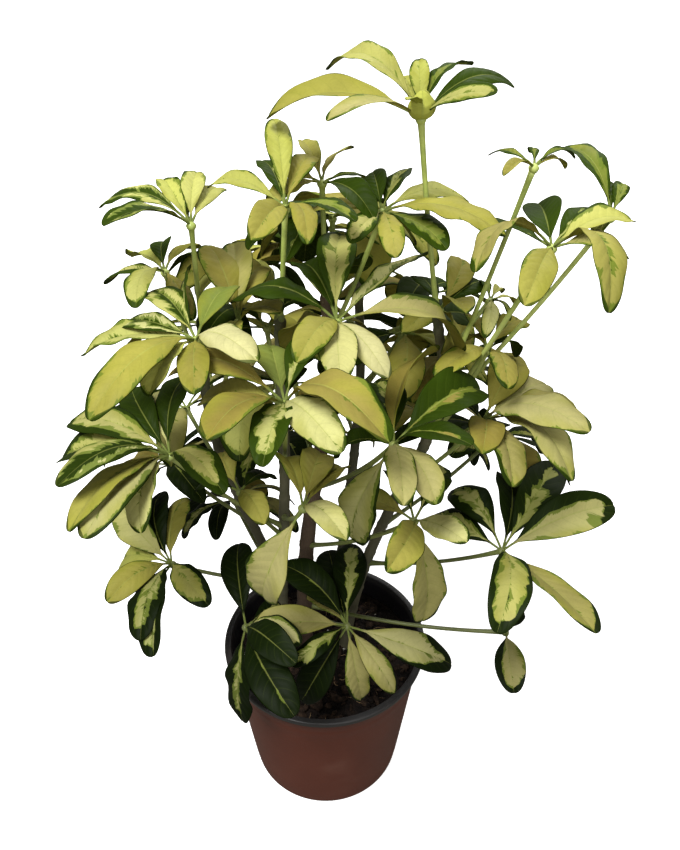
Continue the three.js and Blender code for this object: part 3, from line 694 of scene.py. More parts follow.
def punch(piece, x, y):
    """Cuts a round hole down through a piece."""
    line = [(x, y, z) for z in (-PUNCH_HIGH, 0, PUNCH_HIGH)]
    gathered = Gathering()
    gathered.add_rings(tube(line, [DRAIN_RADIUS] * len(line), PUNCH_SIDES))
    cutter = gathered.make("punch", [inner_plastic])
    cut = piece.modifiers.new("hole", "BOOLEAN")
    cut.operation = "DIFFERENCE"
    cut.solver = "EXACT"
    cut.object = cutter
    bpy.context.view_layer.objects.active = piece
    bpy.ops.object.modifier_apply(modifier=cut.name)
    bpy.data.objects.remove(cutter)


for hole in range(DRAIN_HOLES):
    turn = 2 * math.pi * (hole + 0.25) / DRAIN_HOLES
    punch(nursery_pot, DRAIN_RING * math.cos(turn), DRAIN_RING * math.sin(turn))
stand_for(nursery_pot, "pot", slot="pot_plastic")

# %% [markdown]
# ## The potting mix
#
# The mix is dark damp peat with bark chips, a few pale grains of perlite and hair roots. Its top
# is a disc of rings whose heights come from layered noise, lower at the wall than in the middle. The
# loose bits are small lumpy stones and chips that lie half sunk in it.

# %% Finish the mix and its bits
def paint_earth(name, colour, second, patch, roughness, depth):
    """Earthy stuff: two colours in patches, crumbs for relief, hardly any shine."""
    material, tree, shader = start_material(name)
    drifted = use_group(tree, mottle, {
        "Colour": colour, "Patch size": patch, "Drift": 0.9, "Specks": 0.8})
    crumbs = use_group(tree, grain, {"Size": 1.6, "Pits": 0.9})
    tone = eased(tree, drifted["Patches"], 0.42, 0.68)
    dress(shader, mixed(tree, tone, drifted["Colour"], second),
          minus(tree, roughness, times(tree, crumbs["Pits"], 0.2)),
          roughened(tree, crumbs["Height"], depth))
    shader["Specular IOR Level"].default_value = 0.2
    return material


peat = paint_earth("peat", (0.010, 0.007, 0.006, 1), (0.020, 0.013, 0.010, 1),
                   patch=7.0, roughness=0.9, depth=0.8)
bark_chip = paint_earth("bark_chip", (0.024, 0.014, 0.009, 1), (0.050, 0.030, 0.019, 1),
                        patch=3.0, roughness=0.85, depth=0.4)
perlite = paint_earth("perlite", (0.42, 0.40, 0.36, 1), (0.55, 0.53, 0.48, 1),
                      patch=2.0, roughness=0.9, depth=0.3)
hair_root = paint_earth("hair_root", (0.20, 0.13, 0.07, 1), (0.30, 0.21, 0.12, 1),
                        patch=4.0, roughness=0.8, depth=0.1)
print("soil finishes:", peat.name, bark_chip.name, perlite.name, hair_root.name)

# %% Heap the mix
SOIL_EDGE = 96 * MM
SOIL_CROWN = 5 * MM
SOIL_FOOT = 2 * MM
SOIL_GAP = 0.3 * MM
SOIL_RINGS, SOIL_SIDES = 46, 132
SOIL_RADIUS = wall_radius(SOIL_EDGE) - WALL - SOIL_GAP


def soil_height(x, y):
    """How high the mix stands at a place: a low crown, lumps and crumbs."""
    share = min(1.0, math.hypot(x, y) / SOIL_RADIUS)
    place = Vector((x, y, 0)) / MM
    lumps = noise.noise(place / 13) * 2.2 + noise.noise(place / 5 + Vector((9, 4, 2))) * 1.3
    crumbs = noise.noise(place / 2.1 + Vector((1, 7, 3))) * 0.9 + noise.noise(place / 0.9) * 0.35
    return SOIL_EDGE + SOIL_CROWN * (1 - share * share) + (lumps + crumbs) * MM * 0.8


def heap_soil():
    """A solid plug of mix: its foot, its sides against the wall and its crumbly top."""
    angles = round_angles(SOIL_SIDES)
    rings = [circle(FOOT_RADIUS - FOOT_CORNER - 2 * MM, SOIL_FOOT, angles)]
    for z in (10 * MM, 50 * MM, SOIL_EDGE - 3 * MM):
        rings.append(circle(wall_radius(z) - WALL - SOIL_GAP, z, angles))
    for ring in range(SOIL_RINGS):
        flat = circle(SOIL_RADIUS * (1 - ring / SOIL_RINGS) ** 0.85, 0, angles)
        rings.append([(x, y, soil_height(x, y)) for x, y, z in flat])
    return rings


soil_pile = Gathering()
soil_pile.add_rings(heap_soil())
print("the mix stands", round(soil_height(0, 0) / MM, 1), "mm high in the middle")

# %% Scatter chips, grains and hair roots
# For each kind of bit: its material, how many, the smallest and the largest in millimetres, how flat
SCATTER = [(1, 230, 1.2, 3.6, 0.35), (1, 60, 3.0, 6.5, 0.22), (2, 26, 0.7, 1.6, 0.8),
           (0, 260, 0.8, 2.4, 0.7)]
BIT_TILTS = np.radians([-80, -35, 10, 50, 82])
BIT_SIDES = 7
ROOTS = 46
ROOT_LINKS = 9
ROOT_LINK = 1.6 * MM
rng = np.random.default_rng(41)


def lumpy_bit(place, size, flat, turn, seed):
    """A small lumpy stone or chip: a few rings of a squashed ball, pushed about by noise."""
    rings = []
    for tilt in BIT_TILTS:
        ring = []
        for x, y, z in circle(math.cos(tilt), math.sin(tilt), round_angles(BIT_SIDES)):
            out = Vector((x, y, z))
            out *= 1 + 0.45 * noise.noise(out * 1.7 + Vector((seed * 3.1, seed * 1.7, 0)))
            ring.append(place + turn @ Vector((out.x * size[0], out.y * size[1], out.z * flat)))
        rings.append(ring)
    return rings


for slot, count, smallest, largest, flatness in SCATTER:
    for bit in range(count):
        away = (wall_radius(SOIL_EDGE) - 6 * MM) * math.sqrt(rng.uniform(0, 1))
        turn = rng.uniform(0, 2 * math.pi)
        x, y = away * math.cos(turn), away * math.sin(turn)
        wide = rng.uniform(smallest, largest) * MM
        size = (wide, wide * rng.uniform(0.4, 0.8))
        tipped = Matrix.Rotation(rng.uniform(0, 6.3), 3, "Z") @ Matrix.Rotation(
            rng.uniform(-0.5, 0.5), 3, "X")
        place = Vector((x, y, soil_height(x, y) + 0.2 * wide))
        soil_pile.add_rings(lumpy_bit(place, size, wide * flatness, tipped, bit + 0.37), slot)

for root in range(ROOTS):
    away = (wall_radius(SOIL_EDGE) - 9 * MM) * math.sqrt(rng.uniform(0.1, 1))
    turn, heading = rng.uniform(0, 6.3), rng.uniform(0, 6.3)
    x, y = away * math.cos(turn), away * math.sin(turn)
    line = []
    for link in range(ROOT_LINKS):
        line.append((x, y, soil_height(x, y) + rng.uniform(0.1, 1.2) * MM))
        heading += rng.uniform(-0.6, 0.6)
        x, y = x + ROOT_LINK * math.cos(heading), y + ROOT_LINK * math.sin(heading)
        if math.hypot(x, y) > wall_radius(SOIL_EDGE) - 5 * MM:
            heading += math.pi / 2
    soil_pile.add_rings(tube(line, np.linspace(0.28, 0.12, ROOT_LINKS) * MM, 5), 3)

potting_mix = soil_pile.make("potting_mix", [peat, bark_chip, perlite, hair_root])
stand_for(potting_mix, "soil", slot="soil")

# %% [markdown]
# ## The stems
#
# Five woody stems rise out of the mix. The thickest is brown and barky, and the younger ones are
# grey-green. Each follows the same smooth curve as its solid, through the same points. The curve is
# the centripetal kind, which never loops between points that lie close together. Where a stalk
# once grew, a scar runs round the stem as a low ring, and a pointed bud closes the top.

# %% Follow a smooth curve through points
STEMS = {
    "stem_trunk": dict(foot=6.6, top=3.2, line=[
        (-13, 6, 66), (-13, 4, 110), (-11, 0, 178), (-7, -1, 222), (0, 4, 268), (5, 10, 312),
        (3, 16, 352)]),
    "stem_left": dict(foot=4.2, top=2.8, line=[
        (-29, -10, 66), (-28, -9, 110), (-25, -6, 170), (-22, -4, 222), (-20, -4, 270),
        (-20, -3, 312), (-19, -4, 350)]),
    "stem_right": dict(foot=4.6, top=2.6, line=[
        (12, 2, 66), (14, 4, 110), (24, 8, 165), (40, 6, 222), (56, 2, 270), (63, 1, 305),
        (57, 1, 350)]),
    "stem_far_left": dict(foot=4.2, top=2.6, line=[
        (-26, 22, 66), (-28, 24, 110), (-38, 26, 165), (-52, 24, 215), (-62, 22, 265),
        (-63, 19, 300), (-61, 17, 336)]),
    "stem_back": dict(foot=4.4, top=2.6, line=[
        (6, 28, 66), (7, 31, 110), (13, 42, 170), (19, 54, 225), (22, 62, 280), (20, 66, 335)]),
}


def curve_point(line, share):
    """A point at a share of the way along the centripetal curve through some points."""
    along = share * (len(line) - 1)
    span = min(int(along), len(line) - 2)
    part = along - span
    second, third = line[span], line[span + 1]
    first = line[span - 1] if span else second * 2 - third
    fourth = line[span + 2] if span + 2 < len(line) else third * 2 - second
    gaps = [math.sqrt((b - a).length) for a, b in ((first, second), (second, third), (third, fourth))]
    start = ((second - first) / gaps[0] - (third - first) / (gaps[0] + gaps[1])
             + (third - second) / gaps[1]) * gaps[1]
    end = ((third - second) / gaps[1] - (fourth - second) / (gaps[1] + gaps[2])
           + (fourth - third) / gaps[2]) * gaps[1]
    return (second + start * part + (third * 3 - second * 3 - start * 2 - end) * part ** 2
            + (second * 2 - third * 2 + start + end) * part ** 3)


def stem_points(name, count):
    """Points evenly along a stem's curve, in metres."""
    line = [Vector(p) * MM for p in STEMS[name]["line"]]
    return [curve_point(line, step / (count - 1)) for step in range(count)]


STEM_LINES = {name: stem_points(name, 201) for name in STEMS}
print("stem tops:", {name: round(line[-1].z, 3) for name, line in STEM_LINES.items()})

# %% [markdown]
# ## The fronds, as the photograph shows them
#
# Each frond hangs on its stem at a height and ends in a hub. The hub is a pixel of the photograph
# and a depth towards the back, in millimetres. Each leaflet is a letter for its look, the pixel of
# its tip, and then its length where it isn't the frond's own, 1 or -1 where it points away from or
# towards the camera, its arch, and degrees of roll. The fronds of the middle, the sides and the
# back have a hub in millimetres and an even ring of leaflets.
#
# The letters are: L lime with a thin dark margin, C cream, W nearly white, O olive tan, K khaki, B
# a broad cream middle in a dark border, S and J striped, D dark, G green all over, Y olive green, N
# nut brown, X dark with an olive patch, H cream with a dark heart, T dark at the tip, Q dark on the
# one side and P on the other, M plain lime.

# %% List the fronds
SHOWN = [
    dict(stem="stem_right", height=350, hub=(421, 118), depth=0, long=62, wide=0.28, leaflets=[
        ("O", 267, 113, 68, 1, 0.12, -8), ("K", 328, 116, 50, -1, 0.1, -16),
        ("L", 328, 61, 56, 1, 0.24, -20), ("L", 402, 74, 26), ("L", 419, 58, 30),
        ("M", 408, 98, 20, -1), ("Y", 471, 62, 42, 1), ("D", 514, 79, 48, 1),
        ("B", 497, 91, 40, -1, 0.12, 30)]),
    dict(stem="stem_right", height=306, hub=(534, 167), depth=0, long=30, wide=0.2, bow=0.02, leaflets=[
        ("Y", 489, 155), ("O", 504, 172, 26), ("Y", 531, 150, 24), ("Y", 575, 156),
        ("O", 565, 168, 26)]),
    dict(stem="stem_right", height=292, hub=(611, 217), depth=8, long=58, wide=0.28, bow=0.07, leaflets=[
        ("Y", 564, 146, 54, 1, 0.2), ("Y", 624, 180, 30), ("D", 598, 178, 34, 1),
        ("L", 592, 238, 26, -1)]),
    dict(stem="stem_right", height=280, hub=(552, 248), depth=-28, long=56, bow=0.03, leaflets=[
        ("D", 473, 218, 44, 1, 0.06, 10), ("K", 474, 266, 44, -1, 0.32, 40),
        ("D", 538, 203, 48, 1, 0.1, -40), ("S", 602, 211, 40, 1), ("L", 630, 230, 42),
        ("K", 630, 252, 40), ("O", 609, 313, 50, -1, 0.4, -10), ("O", 526, 302, 44, -1)]),
    dict(stem="stem_right", height=318, hub=(490, 301), depth=24, long=26, wide=0.24, leaflets=[
        ("Y", 482, 281), ("L", 502, 290), ("L", 517, 305), ("Y", 511, 318, 22),
        ("C", 486, 335, 34)]),
    dict(stem="stem_far_left", height=335, hub=(191, 225), depth=8, long=46, wide=0.32, leaflets=[
        ("J", 101, 207, 48, 1, 0.22, 8), ("J", 104, 220, 46, -1, 0.14), ("L", 163, 178, 34),
        ("L", 198, 178, 34), ("S", 184, 200, 30), ("L", 222, 186, 36)]),
    dict(stem="stem_left", height=349, hub=(285, 208), depth=-8, long=56, wide=0.3, leaflets=[
        ("L", 208, 182, 44, 1, 0.16, -10), ("D", 262, 160, 40, 1), ("L", 274, 117, 46),
        ("O", 314, 152, 40, 1), ("Y", 356, 216, 38, -1, 0.1), ("O", 308, 240, 40, -1),
        ("O", 252, 238, 42, -1, 0.15, -20)]),
    dict(stem="stem_trunk", height=351, hub=(322, 183), depth=22, long=54, leaflets=[
        ("D", 374, 214, 38, -1), ("Y", 376, 184, 32, 1), ("K", 352, 147, 32, 1, 0.1, -30),
        ("O", 302, 140, 30), ("O", 264, 165, 36, 1, 0.1, -30), ("O", 272, 196, 34, -1)]),
    dict(stem="stem_trunk", height=330, hub=(382, 212), depth=2, long=56, leaflets=[
        ("S", 408, 166, 36, 0, 0.1, -30), ("L", 468, 198, 46, 1, 0.14, -10),
        ("O", 506, 233, 62, -1, 0.12), ("Y", 448, 244, 38, -1, 0.08), ("B", 346, 232, 28, -1),
        ("O", 304, 210, 42, 1, 0.08), ("D", 366, 176, 32, 1, 0.1, -30), ("O", 396, 258, 32, -1)]),
    dict(stem="stem_trunk", height=300, hub=(337, 322), depth=-30, long=60, leaflets=[
        ("B", 340, 233, 58), ("D", 250, 307, 58, 1, 0.2), ("J", 425, 250, 66, 1, 0.06, -40),
        ("K", 463, 345, 68, 1, 0.2), ("W", 388, 374, 42, -1), ("C", 340, 377, 46, -1),
        ("O", 296, 368, 46, -1), ("D", 365, 262, 56, 1), ("D", 298, 262, 52, 1),
        ("O", 282, 338, 44)]),
    dict(stem="stem_left", height=300, hub=(196, 340), depth=-38, long=56, leaflets=[
        ("J", 148, 288, 46, 1, 0.15), ("J", 122, 322, 46, 1, 0.12), ("L", 82, 352, 60, 1, 0.08),
        ("O", 88, 415, 66, -1, 0.16), ("L", 146, 386, 42, -1), ("W", 256, 358, 44, -1, 0.2),
        ("S", 178, 262, 52, 1, 0.15, -50), ("G", 232, 284, 48, 1), ("O", 194, 392, 40, -1)]),
    dict(stem="stem_left", height=262, hub=(285, 404), depth=-66, long=56, leaflets=[
        ("N", 172, 374, 60, 1, 0.26), ("O", 200, 402, 46, 1), ("N", 206, 432, 52, -1, 0.16, 32),
        ("G", 270, 340, 46, 1), ("S", 315, 352, 46, 1), ("C", 340, 449, 46, -1, 0.22),
        ("N", 388, 437, 60, -1, 0.24), ("S", 262, 462, 44, -1), ("D", 300, 364, 36, 1)]),
    dict(stem="stem_trunk", height=240, hub=(394, 445), depth=-58, long=58, leaflets=[
        ("N", 432, 345, 58, 1, 0.1, -50), ("X", 482, 386, 58, 1), ("X", 472, 444, 46, -1),
        ("C", 350, 545, 72, 1, 0.1), ("K", 437, 503, 40, -1), ("D", 338, 456, 42, 1),
        ("S", 376, 372, 50, 1), ("K", 402, 512, 46, -1)]),
    dict(stem="stem_right", height=272, hub=(487, 350), depth=2, long=46, leaflets=[
        ("O", 450, 384, 42, -1), ("O", 463, 342, 34, 1), ("D", 516, 352, 36, 1),
        ("O", 508, 388, 40, -1), ("O", 478, 302, 40, 1), ("O", 524, 320, 42, 1)]),
    dict(stem="stem_right", height=238, hub=(482, 422), depth=-12, long=58, wide=0.4, leaflets=[
        ("K", 548, 382, 56, 1), ("O", 520, 347, 52, 1), ("K", 576, 404, 58, 1),
        ("K", 588, 426, 62, -1, 0.22), ("K", 574, 474, 60, -1, 0.2), ("K", 513, 486, 52, -1, 0.18),
        ("N", 480, 458, 42, -1), ("D", 444, 404, 40, 1)]),
    dict(stem="stem_right", height=172, hub=(502, 551), depth=-30, long=66, leaflets=[
        ("S", 453, 486, 60, 1, 0.2, -25), ("S", 430, 514, 56, 1, 0.15, -30),
        ("D", 507, 470, 60, 1), ("S", 556, 463, 66, 1, 0.15), ("P", 614, 503, 70, 1, 0.08),
        ("K", 597, 632, 74, -1, 0.05), ("B", 500, 629, 60, -1, 0.2)]),
    dict(stem="stem_trunk", height=196, hub=(414, 521), depth=-58, long=58, leaflets=[
        ("K", 426, 624, 64, 1, 0.04), ("C", 467, 542, 44, -1, 0.08, 25), ("O", 388, 570, 46, -1),
        ("S", 437, 462, 48, 1), ("O", 352, 500, 48, 1), ("S", 388, 468, 44, 1)]),
    dict(stem="stem_trunk", height=138, hub=(347, 626), depth=-46, long=60, leaflets=[
        ("D", 319, 550, 62, 1, 0.1), ("S", 374, 546, 62, 1, 0.1), ("D", 283, 564, 58, 1),
        ("K", 308, 592, 34, 1), ("K", 253, 627, 56, 1, 0.1), ("S", 292, 666, 40, -1),
        ("D", 300, 704, 54, 1), ("K", 362, 702, 46, 1), ("K", 396, 692, 44, 1),
        ("T", 452, 664, 66, 1, 0.16)]),
    dict(stem="stem_left", height=134, hub=(246, 627), depth=-46, long=54, leaflets=[
        ("D", 237, 541, 56, 1, 0.14), ("S", 242, 722, 62, 1, 0.05, 25), ("S", 284, 604, 34, 1),
        ("C", 300, 642, 40, -1), ("D", 298, 668, 50, -1), ("D", 294, 716, 62, -1, 0.16)]),
    dict(stem="stem_left", height=222, hub=(303, 508), depth=-70, long=62, leaflets=[
        ("K", 262, 598, 66, 1, 0.12), ("O", 282, 456, 46, 1), ("O", 322, 450, 46, 1),
        ("C", 346, 538, 44, -1), ("O", 352, 462, 46, 1)]),
    dict(stem="stem_left", height=214, hub=(170, 456), depth=-30, long=60, leaflets=[
        ("D", 130, 386, 50, 1, 0.2), ("C", 166, 386, 46, 1), ("D", 200, 378, 52, 1, 0.2),
        ("B", 68, 418, 62, 1, 0.18), ("S", 61, 460, 60, 1, 0.2), ("H", 57, 484, 64, -1, 0.18),
        ("C", 83, 536, 66, -1, 0.16), ("C", 140, 532, 48, -1, 0.2), ("B", 224, 494, 50, -1, 0.2),
        ("O", 66, 524, 66, -1, 0.12)]),
    dict(stem="stem_left", height=170, hub=(172, 564), depth=-4, long=56, wide=0.4, leaflets=[
        ("L", 120, 567, 50, 1, 0.2), ("O", 107, 601, 46, -1, 0.2, -36),
        ("S", 131, 628, 56, -1, 0.16), ("S", 153, 656, 64, -1, 0.14), ("B", 209, 606, 46, -1, 0.2),
        ("D", 158, 490, 52, 1), ("O", 182, 495, 46, 1), ("C", 120, 504, 54, 1)]),
    dict(stem="stem_left", height=206, hub=(240, 492), depth=-24, long=46, leaflets=[
        ("O", 264, 520, 36, -1), ("D", 274, 476, 40, 1), ("O", 222, 450, 44, 1),
        ("D", 196, 486, 38, 1)]),
    dict(stem="stem_far_left", height=300, hub=(165, 272), depth=24, long=44, leaflets=[
        ("L", 132, 256, 40, 1, 0.12), ("S", 105, 279, 46, 1, 0.08), ("D", 166, 240, 34, 1),
        ("O", 198, 247, 38, 1), ("L", 136, 312, 42, -1), ("O", 190, 300, 38, -1)]),
    dict(stem="stem_far_left", height=268, hub=(238, 322), depth=4, long=52, leaflets=[
        ("O", 208, 240, 52, 1), ("K", 234, 243, 52, 1), ("O", 262, 262, 46, 1),
        ("O", 282, 312, 42, -1), ("O", 226, 366, 38, -1)]),
    dict(stem="stem_back", height=300, hub=(440, 310), depth=26, long=48, leaflets=[
        ("D", 485, 283, 44, 1), ("O", 478, 312, 40, -1), ("O", 462, 258, 44, 1),
        ("D", 414, 276, 38, 1), ("O", 402, 332, 40, -1), ("O", 446, 352, 38, -1)]),
    dict(stem="stem_trunk", height=142, hub=(506, 632), depth=-24, long=40, wide=0.5, leaflets=[
        ("Q", 514, 692, 40, -1, 0.14, 50), ("D", 520, 606, 20, 1)]),
]

HIDDEN = [
    dict(stem="stem_back", height=333, hub=(20, 88, 362), leaflets=7, turn=25),
    dict(stem="stem_far_left", height=322, hub=(-44, 72, 342), leaflets=7, turn=35, long=52),
    dict(stem="stem_back", height=305, hub=(-22, 108, 335), leaflets=7, turn=0),
    dict(stem="stem_right", height=246, hub=(78, 54, 284), leaflets=7, turn=40),
    dict(stem="stem_back", height=262, hub=(62, 114, 300), leaflets=7, turn=50),
    dict(stem="stem_far_left", height=226, hub=(-82, 52, 258), leaflets=7, turn=15),
    dict(stem="stem_far_left", height=252, hub=(-74, 96, 290), leaflets=7, turn=40),
    dict(stem="stem_back", height=232, hub=(0, 130, 262), leaflets=7, turn=25),
    dict(stem="stem_right", height=206, hub=(104, 52, 236), leaflets=7, turn=30),
    dict(stem="stem_back", height=204, hub=(66, 104, 214), leaflets=7, turn=30),
    dict(stem="stem_far_left", height=192, hub=(-98, 62, 206), leaflets=7, turn=0),
    dict(stem="stem_back", height=172, hub=(-34, 106, 192), leaflets=7, turn=45),
    dict(stem="stem_far_left", height=146, hub=(-62, 70, 168), leaflets=6, turn=20, long=52),
    dict(stem="stem_trunk", height=318, hub=(6, 52, 378), leaflets=7, turn=0, long=54, wide=0.4),
    dict(stem="stem_left", height=288, hub=(-30, 40, 320), leaflets=6, turn=10, long=60, wide=0.42),
    dict(stem="stem_back", height=268, hub=(44, 38, 318), leaflets=6, turn=30, long=60, wide=0.42),
    dict(stem="stem_trunk", height=248, hub=(-16, 40, 284), leaflets=6, turn=0, long=60, wide=0.42),
]

# %% [markdown]
# ## Placing a frond
#
# A pixel is a line of sight from the camera. The hub is where that line reaches its depth. A tip is
# where its line comes as close to the hub as the leaflet is long: two such places exist, one nearer
# and one further, and the table or the droop of the umbrella says which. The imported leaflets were
# bent clear of their neighbours, so the bend that each one took is read back from its solid: the
# right one is the one whose tip corners are corners of the solid. One leaflet at the back isn't in
# its solid, because no bend kept it clear, and it takes the bend that comes nearest.

# %% Look along the lines of sight
ABOVE = Vector((0, math.sin(LOOK_DOWN), math.cos(LOOK_DOWN)))
AHEAD = Vector((0, math.cos(LOOK_DOWN), -math.sin(LOOK_DOWN)))
RIGHT = Vector((1, 0, 0))
UP = Vector((0, 0, 1))
LEAFLET_DROOP = -0.12


def sight(pixel):
    """The way in which the camera sees a pixel."""
    x, y = pixel
    across = RIGHT * ((x - PICTURE_WIDE / 2) / FOCAL_PIXELS)
    upward = ABOVE * ((PICTURE_HIGH / 2 - y) / FOCAL_PIXELS)
    return (AHEAD + across + upward).normalized()


def seen_at(pixel, depth):
    """The point at a depth that the camera sees at a pixel."""
    way = sight(pixel)
    return EYE + way * ((depth - EYE.y) / way.y)


def seen_tip(hub, axis, pixel, long, side):
    """The tip, at a distance from its hub, that the camera sees at a pixel."""
    way = sight(pixel)
    nearest = EYE + way * (hub - EYE).dot(way)
    across = (nearest - hub).length
    if across >= long:
        return nearest
    reach = math.sqrt(long * long - across * across)
    far, near = nearest + way * reach, nearest - way * reach
    if side:
        return far if side > 0 else near
    return min(far, near, key=lambda p: abs((p - hub).normalized().dot(axis) - LEAFLET_DROOP))


def ring_tip(hub, axis, around, droop, long):
    """The tip of a leaflet in an even ring round its hub."""
    east = Vector((0, 1, 0)).cross(axis).normalized()
    north = axis.cross(east)
    way = east * math.cos(around) + north * math.sin(around) + axis * droop
    return hub + way.normalized() * long


print("the picture's middle is seen along", tuple(round(c, 3) for c in AHEAD))

# %% Draw steady chances
UNSIGNED = 0xFFFFFFFF
HALF_RANGE = 0x80000000
FROND_STEP, LEAFLET_STEP, CHANNEL_STEP = 374761393, 668265263, 1274126177
STIRS = ((13, 1103515245), (16, 2246822519))


def draw(frond, leaflet, channel):
    """A steady draw between -1 and 1, the same as the solids were grown with."""
    value = (frond + 1) * FROND_STEP + (leaflet + 1) * LEAFLET_STEP + (channel + 1) * CHANNEL_STEP
    value &= UNSIGNED
    for shift, factor in STIRS:
        value = ((value ^ (value >> shift)) * factor) & UNSIGNED
    return (value ^ (value >> 15)) / HALF_RANGE - 1


print("a first draw:", round(draw(0, 0, 0), 3))

# %% Set out every frond
LEAFLET_LONG = 64
LEAFLET_WIDE = 0.35
LEAFLET_ARCH = 0.15
SMALL_LEAFLET = 61
PETIOLE_BOW = 0.09
HUB_UPRIGHT = 1.6
# The hidden fronds take mostly dark looks, the lower ones darker still: real dark leaflets that also
# stand in as painted shade deep inside the bush
HIDDEN_LOOKS = "DOSDOLN", "SDKDBND"
HIDDEN_ABOVE = 280 * MM


def shown_leaflets(frond, hub, axis):
    """The leaflets that the photograph shows: look, length, width, arch and a function for the tip."""
    own, wide = frond.get("long", LEAFLET_LONG), frond.get("wide", LEAFLET_WIDE)
    leaflets = []
    for look, x, y, *rest in frond["leaflets"]:
        long, side, arch, roll = (*rest, *(own, 0, LEAFLET_ARCH, 0)[len(rest):])
        leaflets.append(dict(
            look=look, long=long, wide=wide, arch=arch, roll=roll, small=long < SMALL_LEAFLET,
            tip=lambda l, at=(x, y), side=side: seen_tip(hub, axis, at, l, side)))
    return leaflets


def ring_leaflets(number, frond, hub, axis):
    """An even ring of leaflets, for a frond that the photograph doesn't show."""
    own, wide = frond.get("long", LEAFLET_LONG), frond.get("wide", LEAFLET_WIDE)
    # Lower hidden fronds take the darker set, as painted shade
    looks = HIDDEN_LOOKS[0 if hub.z > HIDDEN_ABOVE else 1]
    leaflets = []
    for which in range(frond["leaflets"]):
        turn = frond["turn"] + 360 * which / frond["leaflets"] + 9 * draw(number, which, 5)
        droop = LEAFLET_DROOP - 0.12 + 0.2 * draw(number, which, 6)
        leaflets.append(dict(
            look=looks[(which + number) % len(looks)],
            long=own * (0.94 + 0.14 * draw(number, which, 7)),
            wide=wide, arch=LEAFLET_ARCH + 0.04, roll=0, small=True,
            tip=lambda l, a=math.radians(turn), d=droop: ring_tip(hub, axis, a, d, l)))
    return leaflets


def place_frond(number, frond):
    """A frond's start on its stem, its hub, the way that its umbrella faces and its leaflets."""
    line = STEM_LINES[frond["stem"]]
    start = min(line, key=lambda p: abs(p.z - frond["height"] * MM))
    shown = "depth" in frond
    hub = seen_at(frond["hub"], frond["depth"] * MM) if shown else Vector(frond["hub"]) * MM
    axis = (UP * HUB_UPRIGHT + (hub - start).normalized()).normalized()
    leaflets = (shown_leaflets(frond, hub, axis) if shown
                else ring_leaflets(number, frond, hub, axis))
    return dict(number=number, name=f"frond_{number + 1:02d}", start=start, hub=hub, axis=axis,
                bow=frond.get("bow", PETIOLE_BOW), leaflets=leaflets)


FRONDS = [place_frond(number, frond) for number, frond in enumerate(SHOWN + HIDDEN)]
print("fronds:", len(FRONDS), "leaflets:", sum(len(f["leaflets"]) for f in FRONDS))

# %% Bend a leaflet as its solid is bent
# Each bend is a change of length, degrees of lift, of turn and of roll, and a change of arch
BENDS = [(1, 0, 0, 0, 0)]
for step in (1, 2, 3):
    BENDS.append((1 - 0.06 * step, 0, 0, 0, 0))
    BENDS += [(1, lift, 0, 0, 0) for lift in (7 * step, -7 * step)]
    BENDS += [(1, 0, turn, 0, 0) for turn in (6 * step, -6 * step)]
    BENDS += [(1, 0, 0, roll, 0) for roll in (14 * step, -14 * step)]
    for lift, arch in ((5 * step, 0.03 * step), (-6 * step, -0.03 * step)):
        BENDS += [(1 - 0.04 * step, lift, turn, 0, arch) for turn in (5 * step, -5 * step)]
BENDS += [(short, lift, turn, 0, 0) for short in (0.74, 0.62, 0.5) for turn in (0, 12, -12)
          for lift in (0, 14, -14, 28, -28)]


def rotated(vector, axis, degrees):
    """A vector turned about an axis."""
    return Matrix.Rotation(math.radians(degrees), 3, axis) @ vector


def lay_leaflet(frond, which, bend):
    """A leaflet's middle line and faces, once it is bent: where it runs, arches and twists."""
    longer, lift, turn, roll, more_arch = bend
    leaflet, number = frond["leaflets"][which], frond["number"]
    hub, axis = frond["hub"], frond["axis"]
    chord = leaflet["tip"](leaflet["long"] * MM * longer) - hub
    chord = rotated(chord, chord.cross(axis).normalized(), lift)
    chord = rotated(chord, axis, turn)
    along = chord.normalized()
    normal = (axis - along * axis.dot(along)).normalized()
    normal = rotated(normal, along, leaflet["roll"] + roll + 11 * draw(number, which, 1))
    return dict(
        hub=hub, along=along, normal=normal, length=chord.length,
        arch=leaflet["arch"] + more_arch + 0.03 * draw(number, which, 2),
        wide=leaflet["long"] * MM * leaflet["wide"] * (1 + 0.12 * draw(number, which, 3)),
        twist=0.3 * draw(number, which, 4), small=leaflet["small"])


print("bends to try:", len(BENDS))

# %% Find the bend of each leaflet
PLATE_THICK = 0.7 * MM
CLOSE = 0.02 * MM

# The last two cuts across a solid leaflet: the share of its length, and the width there
GROWN_CUTS = ((0.76, 1), (1, 0.26))
SMALL_CUTS = ((0.6, 1), (1, 0.4))


def blade_corners(laid, share, width):
    """The four corners of the solid leaflet at a share of its length."""
    length, arch = laid["length"], laid["arch"]
    middle = (laid["hub"] + laid["along"] * (length * share)
              + laid["normal"] * (4 * arch * length * share * (1 - share)))
    forward = (laid["along"] + laid["normal"] * (4 * arch * (1 - 2 * share))).normalized()
    side = rotated(laid["along"].cross(laid["normal"]), forward,
                   math.degrees(laid["twist"] * share))
    up = side.cross(forward)
    half = laid["wide"] * width / 2
    return [middle + side * (s * half) + up * (u * PLATE_THICK / 2) for s in (-1, 1) for u in (-1, 1)]


def read_bend(frond, which):
    """The leaflet as its solid is bent, and how far its corners lie from the solid's own."""
    best = (1.0, None)
    for bend in BENDS:
        laid = lay_leaflet(frond, which, bend)
        cuts = SMALL_CUTS if laid["small"] else GROWN_CUTS
        points = [p for share, width in cuts for p in blade_corners(laid, share, width)]
        off = max(frond["corners"].find(p)[2] for p in points)
        best = min(best, (off, laid), key=lambda pair: pair[0])
        if off < CLOSE:
            break
    return best


